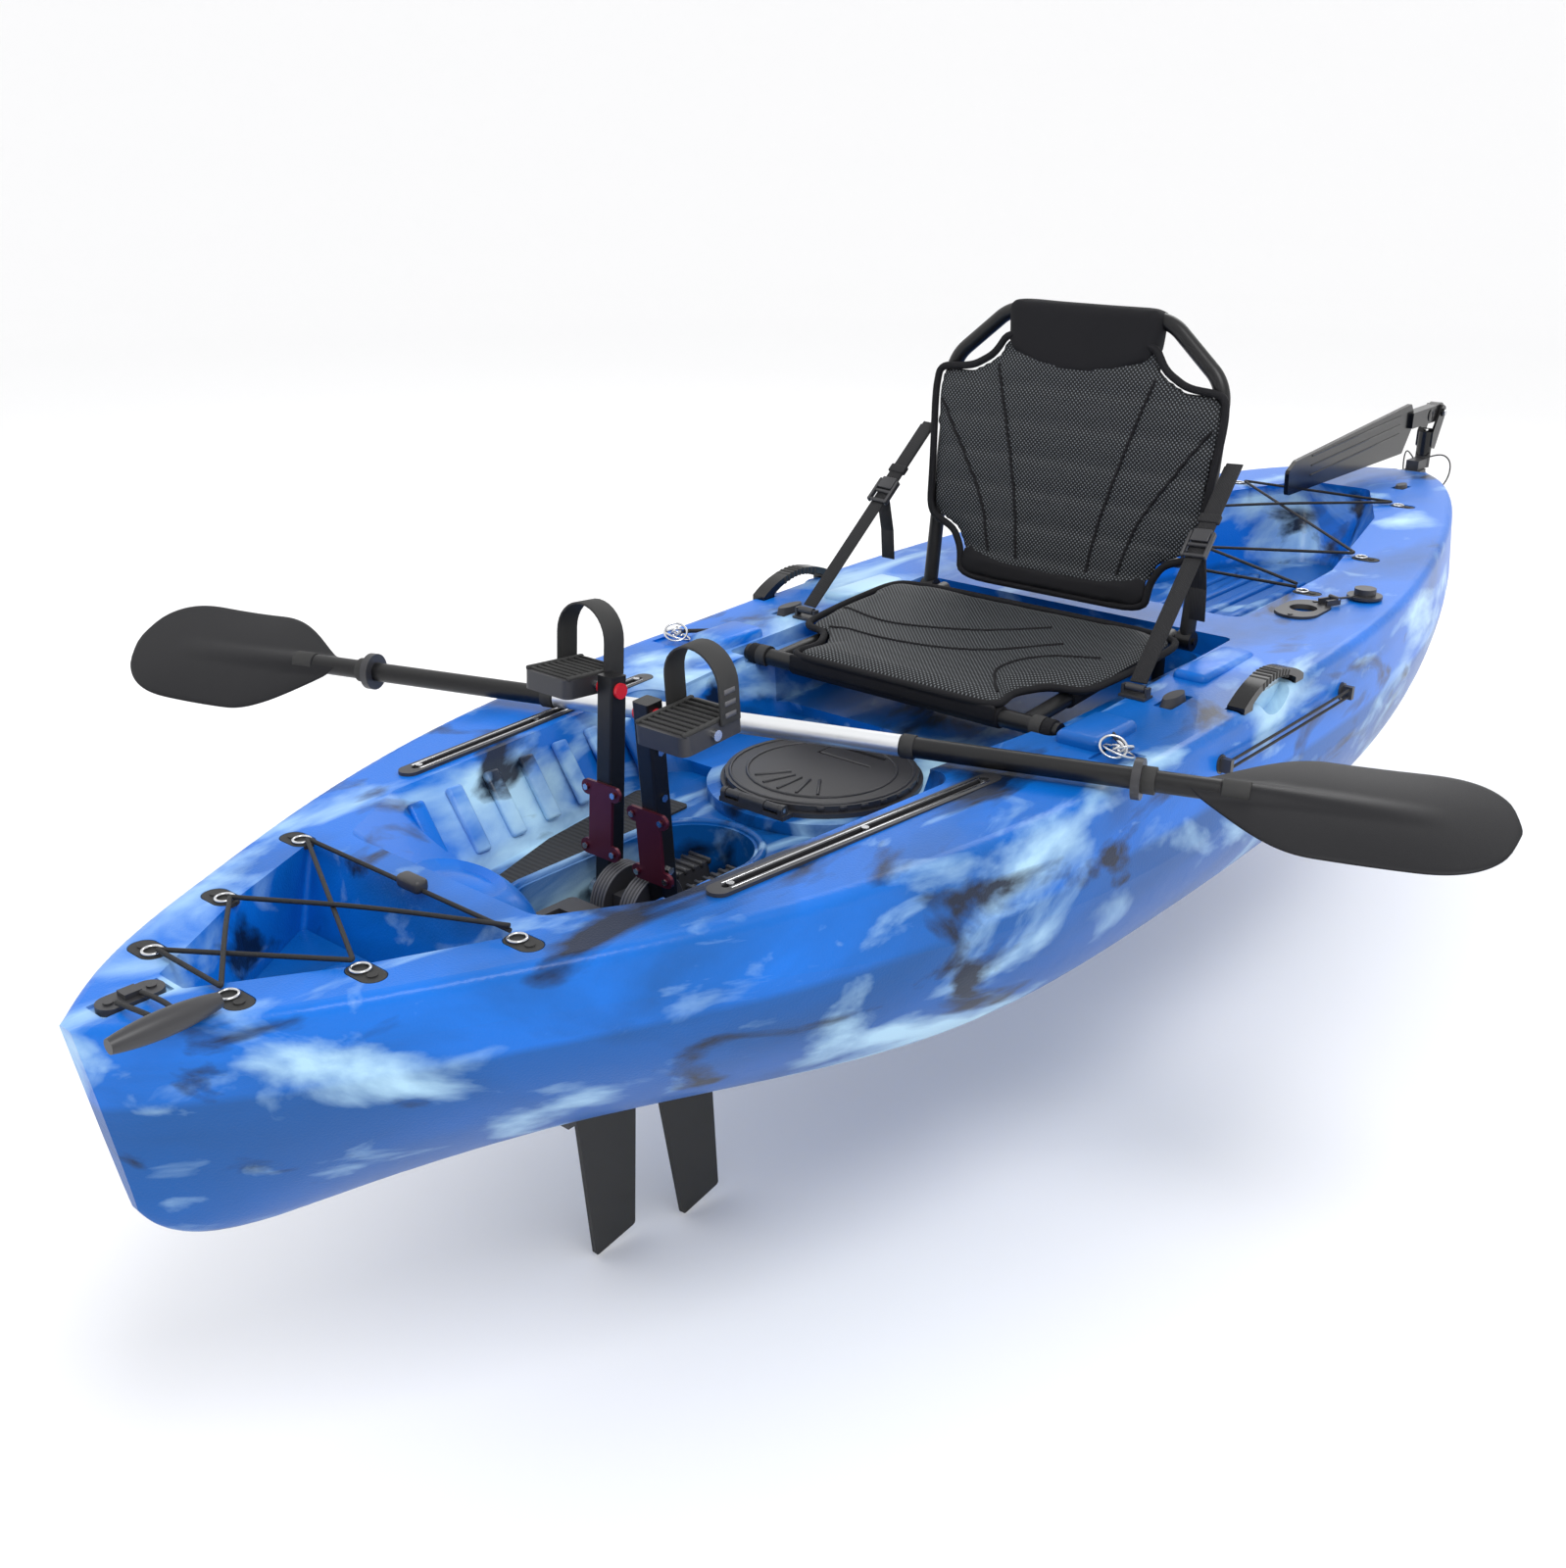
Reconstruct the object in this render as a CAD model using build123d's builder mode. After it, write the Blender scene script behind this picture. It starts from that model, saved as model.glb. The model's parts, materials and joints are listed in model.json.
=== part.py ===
from build123d import *
import os
from math import atan2, cos, degrees, radians, sin

# Sit-on-top fishing kayak with a pedal fin drive, a framed mesh seat, a flip-up rudder and a paddle.
# Millimetres. The bow points to -Y and +X is the port side. The origin is on the centreline at
# mid-length, at the lowest part of the keel, and +Z is up.

os.makedirs("parts", exist_ok=True)

# ---------------------------------------------------------------- driving dimensions

HULL_LENGTH = 3060.0
HULL_BEAM = 852.0
WALL = 5.0
SHOULDER = 16.0
FIT = 0.3  # gap between pieces that sit in or beside each other
RUN = 0.05  # radial running clearance of a shaft in its bore

WELL_FLOOR_Z = 231.0
MOUND_Z = 247.0
SEAT_FLOOR_Z = 262.0
SEAT_SHELF_Z = 318.0
TANK_FLOOR_Z = 236.0
BOW_FLOOR_Z = 246.0

COCKPIT_HALF = 214.0
COCKPIT_SLOPE = 78.0
SLOT_WIDTH = 46.0
SLOT_LENGTH = 290.0
DRIVE_WELL_WIDTH = 150.0
DRIVE_WELL_Z = 118.0

RAIL_LENGTH = 445.0
RAIL_WIDTH = 26.0
RAIL_HEIGHT = 12.0
RAIL_SLOT = 8.0

HATCH_RADIUS = 124.0
HATCH_HOLE = 98.0
HATCH_LID = 8.0

ARM_WIDTH = 24.0
ARM_LENGTH = 262.0
ARM_WALL = 2.0
ARM_SPREAD = 46.0
ARM_SPLAY = 4.0
PIVOT_Z = 196.0
AXLE_RADIUS = 8.0
SPINDLE_RADIUS = 6.0
PEDAL_LENGTH = 92.0
PEDAL_WIDTH = 74.0
PEDAL_HEIGHT = 22.0
STRAP_WIDTH = 30.0
STRAP_RISE = 74.0

FIN_AXIS_Z = -26.0
FIN_AXLE = 6.0
FIN_CHORD = 96.0
FIN_TIP_CHORD = 66.0
FIN_SPAN = 232.0
FIN_THICK = 7.0

SEAT_BAR = 12.0
SEAT_HALF = 257.0
SEAT_SIDE_FRONT = 205.0
SEAT_SIDE_REAR = 197.0
SEAT_DEPTH = 388.0
SEAT_FRONT_Z = SEAT_SHELF_Z + SEAT_BAR + 0.2
SEAT_REAR_Z = 352.0
BACK_TUBE = 11.0
BACK_HALF = 222.0
BACK_HEIGHT = 428.0
BACK_LEAN = 7.0
PIVOT_BOLT = 5.0

PADDLE_SHAFT = 13.0
PADDLE_LENGTH = 1806.0
PADDLE_TURN = 18.4
PADDLE_RING = 508.0
PADDLE_CENTRE = 230.0
BLADE_LENGTH = 345.0
BLADE_WIDTH = 168.0

RUDDER_PIVOT_Z = 462.0
RUDDER_BLADE = 585.0
RUDDER_CHORD = 96.0
RUDDER_THICK = 8.0

ROD_BORE = 23.0
ROD_DEPTH = 190.0
ROD_LIP = 8.0  # how far above its seat the leaning pocket starts, so that no wedge of deck is left
CORD = 5.0


def at(y):
    """A lengthwise place on the hull, given for a 3060 hull, moved to this hull's length."""
    return y * HULL_LENGTH / 3060


def out(x):
    """A crosswise place on the hull, given for an 852 beam, moved to this hull's beam."""
    return x * HULL_BEAM / 852


# ---------------------------------------------------------------- hull lines
# Each station leans with the stem: deck point (y, z), keel point (y, z), half width at the
# gunwale and at the crease, the crease's height as a share, half the flat of the bottom, and
# how far the bilge curve's handles reach upwards and outwards.
STATIONS = [
    (-1530, 328, -1498, 128, 10, 10, 0.80, 4, 0.55, 0.55),
    (-1508, 330, -1462, 86, 36, 36, 0.82, 6, 0.50, 0.50),
    (-1470, 331, -1405, 62, 72, 72, 0.83, 8, 0.45, 0.45),
    (-1400, 331, -1335, 52, 122, 123, 0.84, 11, 0.42, 0.40),
    (-1300, 331, -1258, 48, 176, 179, 0.84, 17, 0.42, 0.38),
    (-1150, 331, -1130, 42, 250, 254, 0.82, 34, 0.45, 0.38),
    (-960, 331, -955, 26, 325, 333, 0.77, 60, 0.50, 0.45),
    (-700, 333, -700, 5, 385, 397, 0.68, 120, 0.55, 0.55),
    (-350, 338, -350, 0, 412, 423, 0.62, 150, 0.55, 0.55),
    (0, 350, 0, 0, 414, 426, 0.62, 150, 0.55, 0.55),
    (350, 358, 350, 2, 392, 402, 0.64, 140, 0.55, 0.55),
    (700, 370, 700, 10, 326, 336, 0.68, 105, 0.52, 0.52),
    (1000, 380, 1000, 26, 236, 244, 0.72, 64, 0.48, 0.50),
    (1250, 372, 1262, 52, 128, 134, 0.76, 30, 0.45, 0.50),
    (1400, 354, 1440, 100, 52, 58, 0.78, 12, 0.45, 0.50),
    (1470, 345, 1530, 190, 14, 14, 0.80, 5, 0.50, 0.50),
]


def along_stations(y, column):
    """The value in one column of STATIONS at a lengthwise place, straight between stations."""
    y = y * 3060 / HULL_LENGTH
    for low, high in zip(STATIONS, STATIONS[1:]):
        if low[0] <= y <= high[0]:
            share = (y - low[0]) / (high[0] - low[0])
            return low[column] + share * (high[column] - low[column])
    return STATIONS[0][column] if y < 0 else STATIONS[-1][column]


def deck_z(y):
    """Height of the deck at a lengthwise place."""
    return along_stations(y, 1)


def station_plane(station, shift):
    """The plane of a station, with its local X across and local Y from keel to deck."""
    deck = Vector(0, at(station[0]) + shift, station[1])
    keel = Vector(0, at(station[2]) + shift, station[3])
    rise = (deck - keel).normalized()
    return Plane(origin=keel, x_dir=(1, 0, 0), z_dir=(0, -rise.Z, rise.Y))


def station_half(station, inset):
    """Half of a station's outline, moved inwards by inset: bilge curve, gunwale and shoulder points."""
    deck_y, deck, keel_y, keel, gunwale, crease, share, flat, up, side = station
    height = Vector(0, at(deck_y - keel_y), deck - keel).length
    low, high = inset, height - inset
    flat = max(out(flat) - inset / 2, 1.5)
    crease_x, gunwale_half = out(crease) - inset, out(gunwale) - inset
    crease_v = share * height
    round_off = min(SHOULDER, 0.4 * gunwale_half)
    bilge = [
        (flat, low),
        (flat + (crease_x - flat) * side, low),
        (crease_x, low + (crease_v - low) * (1 - up)),
        (crease_x, crease_v),
    ]
    shoulder = [(gunwale_half, high - round_off), (gunwale_half, high), (gunwale_half - round_off, high)]
    return bilge, shoulder


def hull_body(inset):
    """The solid inside the hull's skin, with the skin moved inwards by inset."""
    with BuildPart() as body:
        for index, station in enumerate(STATIONS):
            shift = {0: inset, len(STATIONS) - 1: -inset}.get(index, 0)
            bilge, shoulder = station_half(station, inset)
            with BuildSketch(station_plane(station, shift)):
                with BuildLine():
                    Line((-bilge[0][0], bilge[0][1]), bilge[0])
                    for hand in (1, -1):
                        Bezier(*[(hand * x, v) for x, v in bilge])
                        Line((hand * bilge[3][0], bilge[3][1]), (hand * shoulder[0][0], shoulder[0][1]))
                        Bezier(*[(hand * x, v) for x, v in shoulder])
                    Line((-shoulder[2][0], shoulder[2][1]), shoulder[2])
                make_face()
        loft()
    return body.part


# ---------------------------------------------------------------- places on the hull
DRIVE_Y = at(-865)
HATCH_Y = at(-530)
SEAT_Y = at(8)
SEAT_FRONT_Y = SEAT_Y - SEAT_DEPTH
SEAT_WELL_REAR = SEAT_Y + 52
COCKPIT_FRONT = DRIVE_Y - 275
COCKPIT_REAR = HATCH_Y - 62
RAIL_Y = at(-778)
RAIL_X = out(262)
RAIL_TOE = 5.0
TANK_FRONT = SEAT_WELL_REAR + 90
TANK_REAR = at(1040)
BOW_WELL_TIP = at(-1432)
BOW_WELL_REAR = at(-1176)
ROD_X, ROD_Y = out(286), at(250)
ROD_LEAN = 12.0
HANDLE_X, HANDLE_Y = out(400), at(-112)
HANDLE_HALF = 74.0
HANDLE_RISE = 22.0
TROLLEY_X, TROLLEY_Z = out(413), 294.0
TROLLEY_Y = [at(-261), at(106)]
BOW_ANCHORS = [(out(188), at(-1182)), (out(126), at(-1311)), (out(79), at(-1414))]
REAR_ANCHORS = [(out(262), at(338)), (out(258), at(572)), (out(174), at(940))]
TAB_RADIUS, TAB_HEIGHT = 13.0, 4.0
CLEAT_X, CLEAT_Y = out(100), at(1100)
TEARDROP_X, TEARDROP_Y = out(322), at(-215)
LANYARD_X, LANYARD_Y = out(361), at(-423)
PLATE_Y = at(-1470)
YAW_Y = at(1478)
BRACKET_Y = at(1430)
HANDS = {"port": 1, "starboard": -1}


def seat_z(y):
    """Height of the flat seat cut for a fitting into the deck at a lengthwise place."""
    return deck_z(y) - 4


def rounded(points, corner, grow):
    """A closed outline with rounded corners, grown outwards, as a sketch."""
    with BuildSketch() as outline:
        with BuildLine():
            Polyline(*points, close=True)
        make_face()
        fillet(outline.vertices(), corner)
        if grow:
            offset(amount=grow, kind=Kind.ARC)
    return outline.sketch


def well(top, floor, corner, floor_z, top_z, grow):
    """A recess that widens from its floor outline to its top outline, open above top_z."""
    with BuildPart() as solid:
        with BuildSketch(Plane.XY.offset(floor_z - grow)):
            add(rounded(floor, corner, grow))
        with BuildSketch(Plane.XY.offset(top_z)):
            add(rounded(top, corner, grow))
        loft(ruled=True)
        with BuildSketch(Plane.XY.offset(top_z)):
            add(rounded(top, corner, grow))
        extrude(amount=SKY - top_z)
    return solid.part


def mirrored(points):
    """A half outline on the port side, closed by its mirror image on the starboard side."""
    return points + [(-x, y) for x, y in reversed(points)]


def leaned(points, inwards, front, rear):
    """A half outline moved inwards, its first point also moved aft and its last one forwards."""
    moved = [(x - inwards, y) for x, y in points]
    moved[0] = (moved[0][0], points[0][1] + front)
    moved[-1] = (moved[-1][0], points[-1][1] - rear)
    return moved


SKY = 470.0


def open_wells(grow):
    """The large open recesses of the deck; grown by a wall, they bound the inner void."""
    cockpit = [
        (out(150), COCKPIT_FRONT),
        (out(COCKPIT_HALF), COCKPIT_FRONT + 105),
        (out(COCKPIT_HALF) + 38, COCKPIT_REAR),
    ]
    floor = [
        (out(150) - COCKPIT_SLOPE, COCKPIT_FRONT + 90),
        (out(COCKPIT_HALF) - COCKPIT_SLOPE, COCKPIT_FRONT + 160),
        (out(COCKPIT_HALF) + 26 - COCKPIT_SLOPE / 2, COCKPIT_REAR),
    ]
    with BuildPart() as cockpit_well:
        add(well(mirrored(cockpit), mirrored(floor), 30, WELL_FLOOR_Z, 332, grow))
        with Locations((0, HATCH_Y, 0)):
            Cylinder(HATCH_RADIUS + 24 - grow, 600, mode=Mode.SUBTRACT)
    yield cockpit_well.part
    mound = [
        (out(COCKPIT_HALF) - 14, HATCH_Y - HATCH_RADIUS - 26),
        (out(COCKPIT_HALF) + 30, SEAT_FRONT_Y + 20),
    ]
    yield well(mirrored(mound), mirrored(leaned(mound, 26, 0, 0)), 24, MOUND_Z, 330, grow)
    seat = [(SEAT_HALF - 32, SEAT_FRONT_Y - 40), (SEAT_HALF - 32, SEAT_WELL_REAR)]
    yield well(mirrored(seat), mirrored(leaned(seat, 10, 0, 10)), 24, SEAT_FLOOR_Z, SEAT_SHELF_Z + 1, grow)
    shelf = [(SEAT_HALF + 11, SEAT_FRONT_Y - 34), (SEAT_HALF + 11, SEAT_WELL_REAR)]
    yield well(mirrored(shelf), mirrored(shelf), 12, SEAT_SHELF_Z, 345, grow)
    tank = [(out(236), TANK_FRONT), (out(232), at(480)), (out(158), at(830)), (out(62), TANK_REAR)]
    yield well(mirrored(tank), mirrored(leaned(tank, 34, 40, 60)), 26, TANK_FLOOR_Z, 360, grow)
    bow = [(out(20), BOW_WELL_TIP), (out(100), at(-1308)), (out(164), BOW_WELL_REAR)]
    yield well(mirrored(bow), mirrored(leaned(bow, 14, 60, 30)), 5, BOW_FLOOR_Z, 331, grow)
    with BuildPart() as drive_well:
        with BuildSketch(Plane.XY.offset(DRIVE_WELL_Z - grow)):
            with Locations((0, DRIVE_Y)):
                SlotOverall(SLOT_LENGTH + 44 + 2 * grow, DRIVE_WELL_WIDTH + 2 * grow, rotation=90)
        extrude(amount=SKY - DRIVE_WELL_Z)
        with BuildSketch(Plane.XY.offset(-60)):
            with Locations((0, DRIVE_Y)):
                SlotOverall(SLOT_LENGTH + 2 * grow, SLOT_WIDTH + 2 * grow, rotation=90)
        extrude(amount=300)
    yield drive_well.part


def small_seats(grow):
    """The seats cut for fittings: rails, tabs, plates, cleats, the rod holder and the handles."""
    with BuildPart() as seats:
        for hand in HANDS.values():
            rail_floor = deck_z(RAIL_Y - RAIL_LENGTH / 2) - RAIL_SLOT
            with BuildSketch(Plane.XY.offset(rail_floor - grow)):
                with Locations(Location((hand * RAIL_X, RAIL_Y, 0), (0, 0, -hand * RAIL_TOE))):
                    SlotOverall(RAIL_LENGTH + 2 * (grow + FIT), RAIL_WIDTH + 2 * (grow + FIT), rotation=90)
            extrude(amount=SKY - rail_floor)
            for x, y in BOW_ANCHORS + REAR_ANCHORS:
                with BuildSketch(Plane.XY.offset(seat_z(y) - grow)):
                    with Locations((hand * (x - 9), y)):
                        SlotOverall(2 * TAB_RADIUS + 20 + 2 * grow, 2 * TAB_RADIUS + 2 + 2 * grow)
                extrude(amount=SKY - seat_z(y))
            for x, y, long, wide in (
                (CLEAT_X, CLEAT_Y, 46, 24),
                (TEARDROP_X, TEARDROP_Y, 58, 26),
                (LANYARD_X, LANYARD_Y, 50, 50),
                (HANDLE_X, HANDLE_Y - HANDLE_HALF, 30, 28),
                (HANDLE_X, HANDLE_Y + HANDLE_HALF, 30, 28),
            ):
                with Locations((hand * x, y, seat_z(y) - grow)):
                    Box(
                        wide + 2 * grow,
                        long + 2 * grow,
                        SKY - seat_z(y),
                        align=(Align.CENTER, Align.CENTER, Align.MIN),
                    )
            grip = (hand * out(440), HANDLE_Y, deck_z(HANDLE_Y) + 26)
            with Locations(Plane(origin=grip, z_dir=(hand, 0, 0))):
                Cylinder(52 + grow, 86 + 2 * grow)
        for y in TROLLEY_Y:
            with Locations(Plane(origin=(TROLLEY_X - grow, y, TROLLEY_Z), z_dir=(1, 0, 0))):
                Cylinder(12.5 + grow, 60, align=(Align.CENTER, Align.CENTER, Align.MIN))
        for y, long, wide in ((PLATE_Y, 66, 30), (BRACKET_Y, 64, 62)):
            with Locations((0, y, seat_z(y + long / 2) - grow)):
                Box(wide + 2 * grow, long + 2 * grow, SKY, align=(Align.CENTER, Align.CENTER, Align.MIN))
        with BuildSketch(Plane.XY.offset(seat_z(ROD_Y) - grow)):
            with Locations((ROD_X, ROD_Y)):
                SlotOverall(106 + 2 * grow, 66 + 2 * grow, rotation=90)
        extrude(amount=SKY - seat_z(ROD_Y))
        lip = Vector(ROD_X, ROD_Y, seat_z(ROD_Y)) - Vector(*rod_axis()) * ROD_LIP
        with Locations(Plane(origin=lip, z_dir=rod_axis())):
            deep = ROD_DEPTH + ROD_LIP + grow
            Cylinder(ROD_BORE + grow, deep, align=(Align.CENTER, Align.CENTER, Align.MIN))
    return seats.part


def rod_axis():
    """The direction down the rod holder's bore, which leans aft at its top."""
    return (0, -sin(radians(ROD_LEAN)), -cos(radians(ROD_LEAN)))


def finish(piece, name):
    """Labels a finished piece and writes it."""
    piece.label = name
    export_step(piece, f"parts/{name}.step")


def rod(start, end, radius):
    """A round bar from one point to another."""
    run = Vector(*end) - Vector(*start)
    with BuildPart(Plane(origin=start, z_dir=run)) as bar:
        Cylinder(radius, run.length, align=(Align.CENTER, Align.CENTER, Align.MIN))
    return bar.part


# ---------------------------------------------------------------- hull

void = hull_body(WALL)
with BuildPart() as hull:
    add(hull_body(0))
    for recess in open_wells(0):
        add(recess, mode=Mode.SUBTRACT)
    add(small_seats(0), mode=Mode.SUBTRACT)
    for recess in open_wells(WALL):
        void -= recess
    void -= small_seats(WALL)
    add(void, mode=Mode.SUBTRACT)
    with Locations((0, HATCH_Y, MOUND_Z)):
        Cylinder(HATCH_HOLE, 40, mode=Mode.SUBTRACT)
finish(hull.part, "hull")


def plate_yz(points, thick, x_low, corner=0.0):
    """A flat plate lying in a plane of constant X, from an outline given in Y and Z."""
    with BuildPart() as plate:
        with BuildSketch(Plane.YZ.offset(x_low)) as outline:
            with BuildLine():
                Polyline(*points, close=True)
            make_face()
            if corner:
                fillet(outline.vertices(), corner)
        extrude(amount=thick)
    return plate.part


# ---------------------------------------------------------------- deck fittings

rail_floor = deck_z(RAIL_Y - RAIL_LENGTH / 2) - RAIL_SLOT
for side, hand in HANDS.items():
    with BuildPart() as gear_rail:
        place = Location((hand * RAIL_X, RAIL_Y, 0), (0, 0, -hand * RAIL_TOE))
        with BuildSketch(Plane.XY.offset(rail_floor)):
            with Locations(place):
                SlotOverall(RAIL_LENGTH, RAIL_WIDTH, rotation=90)
        extrude(amount=RAIL_HEIGHT)
        with BuildSketch(Plane.XY.offset(rail_floor + 3)):
            with Locations(place):
                SlotOverall(RAIL_LENGTH - 30, 14, rotation=90)
        extrude(amount=5, mode=Mode.SUBTRACT)
        with BuildSketch(Plane.XY.offset(rail_floor + 3)):
            with Locations(place):
                SlotOverall(RAIL_LENGTH - 34, 8, rotation=90)
        extrude(amount=RAIL_HEIGHT, mode=Mode.SUBTRACT)
    finish(gear_rail.part, f"gear_rail_{side}")

with BuildPart() as footwell_pads:
    with BuildSketch(Plane.XY.offset(WELL_FLOOR_Z)) as pads:
        for hand in HANDS.values():
            with BuildLine():
                Polyline(
                    (hand * 86, DRIVE_Y - 150),
                    (hand * 100, DRIVE_Y - 150),
                    (hand * (out(COCKPIT_HALF) - COCKPIT_SLOPE + 12), DRIVE_Y),
                    (hand * (out(COCKPIT_HALF) - 36), COCKPIT_REAR - 92),
                    (hand * 92, HATCH_Y - HATCH_RADIUS - 26),
                    (hand * 86, DRIVE_Y + 90),
                    close=True,
                )
            make_face()
        fillet(pads.vertices(), 8)
    extrude(amount=3)
finish(footwell_pads.part, "footwell_pads")


with BuildPart() as deck_tabs:
    for x, y in BOW_ANCHORS + REAR_ANCHORS:
        for hand in HANDS.values():
            with BuildSketch(Plane.XY.offset(seat_z(y))):
                with Locations((hand * (x - 9), y)):
                    SlotOverall(2 * TAB_RADIUS + 18, 2 * TAB_RADIUS)
            extrude(amount=TAB_HEIGHT)
            with Locations((hand * x, y, seat_z(y) + TAB_HEIGHT)):
                Cylinder(5, 1.6, align=(Align.CENTER, Align.CENTER, Align.MIN))
finish(deck_tabs.part, "deck_tabs")

with BuildPart() as tab_rings:
    for x, y in BOW_ANCHORS + REAR_ANCHORS:
        for hand in HANDS.values():
            with Locations((hand * (x - 17), y, seat_z(y) + TAB_HEIGHT + 2)):
                Torus(9, 1.5)
finish(tab_rings.part, "tab_rings")


def anchor_point(anchors, index, hand):
    """Where a bungee meets an anchor's ring, as a point."""
    x, y = anchors[index]
    return (hand * (x - 27), y, seat_z(y) + TAB_HEIGHT + 3.5 + FIT + CORD / 2)


def lashing(anchors, spans, name):
    """Bungee cord pulled straight between anchors, each span given as two (anchor, hand) ends."""
    with BuildPart() as cord:
        for (first, first_hand), (second, second_hand) in spans:
            start = anchor_point(anchors, first, first_hand)
            end = anchor_point(anchors, second, second_hand)
            add(rod(start, end, CORD / 2))
            for point in (start, end):
                with Locations(point):
                    Sphere(CORD / 2)
    finish(cord.part, name)


BOW_SPANS = [
    ((0, 1), (0, -1)),
    ((0, -1), (1, 1)),
    ((1, -1), (0, 1)),
    ((1, -1), (2, 1)),
    ((2, -1), (1, 1)),
    ((2, -1), (2, 1)),
]
REAR_SPANS = [
    ((2, -1), (2, 1)),
    ((2, 1), (1, -1)),
    ((1, -1), (0, 1)),
    ((2, -1), (1, 1)),
    ((1, 1), (0, -1)),
    ((0, -1), (0, 1)),
]
lashing(BOW_ANCHORS, BOW_SPANS, "bow_bungee")
lashing(REAR_ANCHORS, REAR_SPANS, "rear_bungee")

with BuildPart() as bow_plate:
    plate_z = seat_z(PLATE_Y + 33)
    with BuildSketch(Plane.XY.offset(plate_z)):
        with Locations((0, PLATE_Y)):
            SlotOverall(62, 28, rotation=90)
    extrude(amount=7)
    with Locations((0, PLATE_Y, plate_z + 7)):
        Box(14, 16, 5, align=(Align.CENTER, Align.CENTER, Align.MIN))
    for step in (-20, 20):
        with Locations((0, PLATE_Y + step, plate_z + 7)):
            Cylinder(4.5, 1.8, align=(Align.CENTER, Align.CENTER, Align.MIN))
finish(bow_plate.part, "bow_handle_plate")

TOGGLE_X, TOGGLE_Y, TOGGLE_Z = out(80), PLATE_Y - 12, 342.0
TOGGLE_ROOT = 10.5
with BuildPart() as bow_toggle:
    with BuildSketch(Plane.YZ.offset(TOGGLE_X)):
        with BuildLine():
            Polyline((TOGGLE_Y - 50, TOGGLE_Z), (TOGGLE_Y - 50, TOGGLE_Z + 7))
            ThreePointArc(
                (TOGGLE_Y - 50, TOGGLE_Z + 7), (TOGGLE_Y, TOGGLE_Z + 12), (TOGGLE_Y + 50, TOGGLE_Z + 7)
            )
            Polyline((TOGGLE_Y + 50, TOGGLE_Z + 7), (TOGGLE_Y + 50, TOGGLE_Z), (TOGGLE_Y - 50, TOGGLE_Z))
        make_face()
    revolve(axis=Axis((TOGGLE_X, TOGGLE_Y, TOGGLE_Z), (0, 1, 0)))
finish(bow_toggle.part, "bow_toggle")

with BuildPart() as bow_toggle_cord:
    for step in (-6, 6):
        root = (TOGGLE_ROOT, PLATE_Y + step, plate_z + 10)
        add(rod(root, (TOGGLE_X - 12.5, TOGGLE_Y + step, TOGGLE_Z + 1), 2.5))
    add(rod((TOGGLE_ROOT, PLATE_Y - 8.5, plate_z + 10), (TOGGLE_ROOT, PLATE_Y + 8.5, plate_z + 10), 2.5))
finish(bow_toggle_cord.part, "bow_toggle_cord")

with BuildPart() as side_handles:
    for hand in HANDS.values():
        front_z, rear_z = seat_z(HANDLE_Y - HANDLE_HALF), seat_z(HANDLE_Y + HANDLE_HALF)
        with BuildSketch(Plane.YZ.offset(hand * HANDLE_X)):
            with BuildLine():
                low, high = HANDLE_Y - HANDLE_HALF, HANDLE_Y + HANDLE_HALF
                inner_low, inner_high = (low + 12, front_z + 8), (high - 12, rear_z + 8)
                outer_low, outer_high = (low - 12, front_z + 8), (high + 12, rear_z + 8)
                Polyline(inner_low, (low + 12, front_z), (low - 12, front_z), outer_low)
                ThreePointArc(outer_low, (HANDLE_Y, rear_z + HANDLE_RISE + 9), outer_high)
                Polyline(outer_high, (high + 12, rear_z), (high - 12, rear_z), inner_high)
                ThreePointArc(inner_high, (HANDLE_Y, rear_z + HANDLE_RISE), inner_low)
            make_face()
        extrude(amount=12, both=True)
finish(side_handles.part, "side_handles")

with BuildPart() as deck_cleats:
    for hand in HANDS.values():
        for x, y, half, long in ((CLEAT_X, CLEAT_Y, 11, 22), (TEARDROP_X, TEARDROP_Y, 12, 28)):
            with BuildSketch(Plane.XY.offset(seat_z(y))):
                with Locations((hand * x, y)):
                    Ellipse(half, long)
            extrude(amount=13, taper=13)
finish(deck_cleats.part, "deck_cleats")

with BuildPart() as gunwale_lanyards:
    for hand in HANDS.values():
        with Locations((hand * LANYARD_X, LANYARD_Y, seat_z(LANYARD_Y))):
            Cylinder(22, 16, align=(Align.CENTER, Align.CENTER, Align.MIN))
finish(gunwale_lanyards.part, "gunwale_lanyards")

with BuildPart() as trolley_eyes:
    for y in TROLLEY_Y:
        with BuildSketch(Plane(origin=(TROLLEY_X, y, TROLLEY_Z), x_dir=(0, 1, 0), z_dir=(1, 0, 0))):
            Circle(12)
        extrude(amount=5)
        with BuildSketch(Plane(origin=(TROLLEY_X + 5, y, TROLLEY_Z), x_dir=(0, 1, 0), z_dir=(1, 0, 0))):
            Rectangle(8, 18)
        extrude(amount=14)
finish(trolley_eyes.part, "trolley_eyes")

with BuildPart() as trolley_line:
    for rise in (-5, 5):
        start = (TROLLEY_X + 14, TROLLEY_Y[0] + 4, TROLLEY_Z + rise)
        end = (TROLLEY_X + 14, TROLLEY_Y[1] - 4, TROLLEY_Z + rise)
        add(rod(start, end, 2))
finish(trolley_line.part, "trolley_line")

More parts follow.
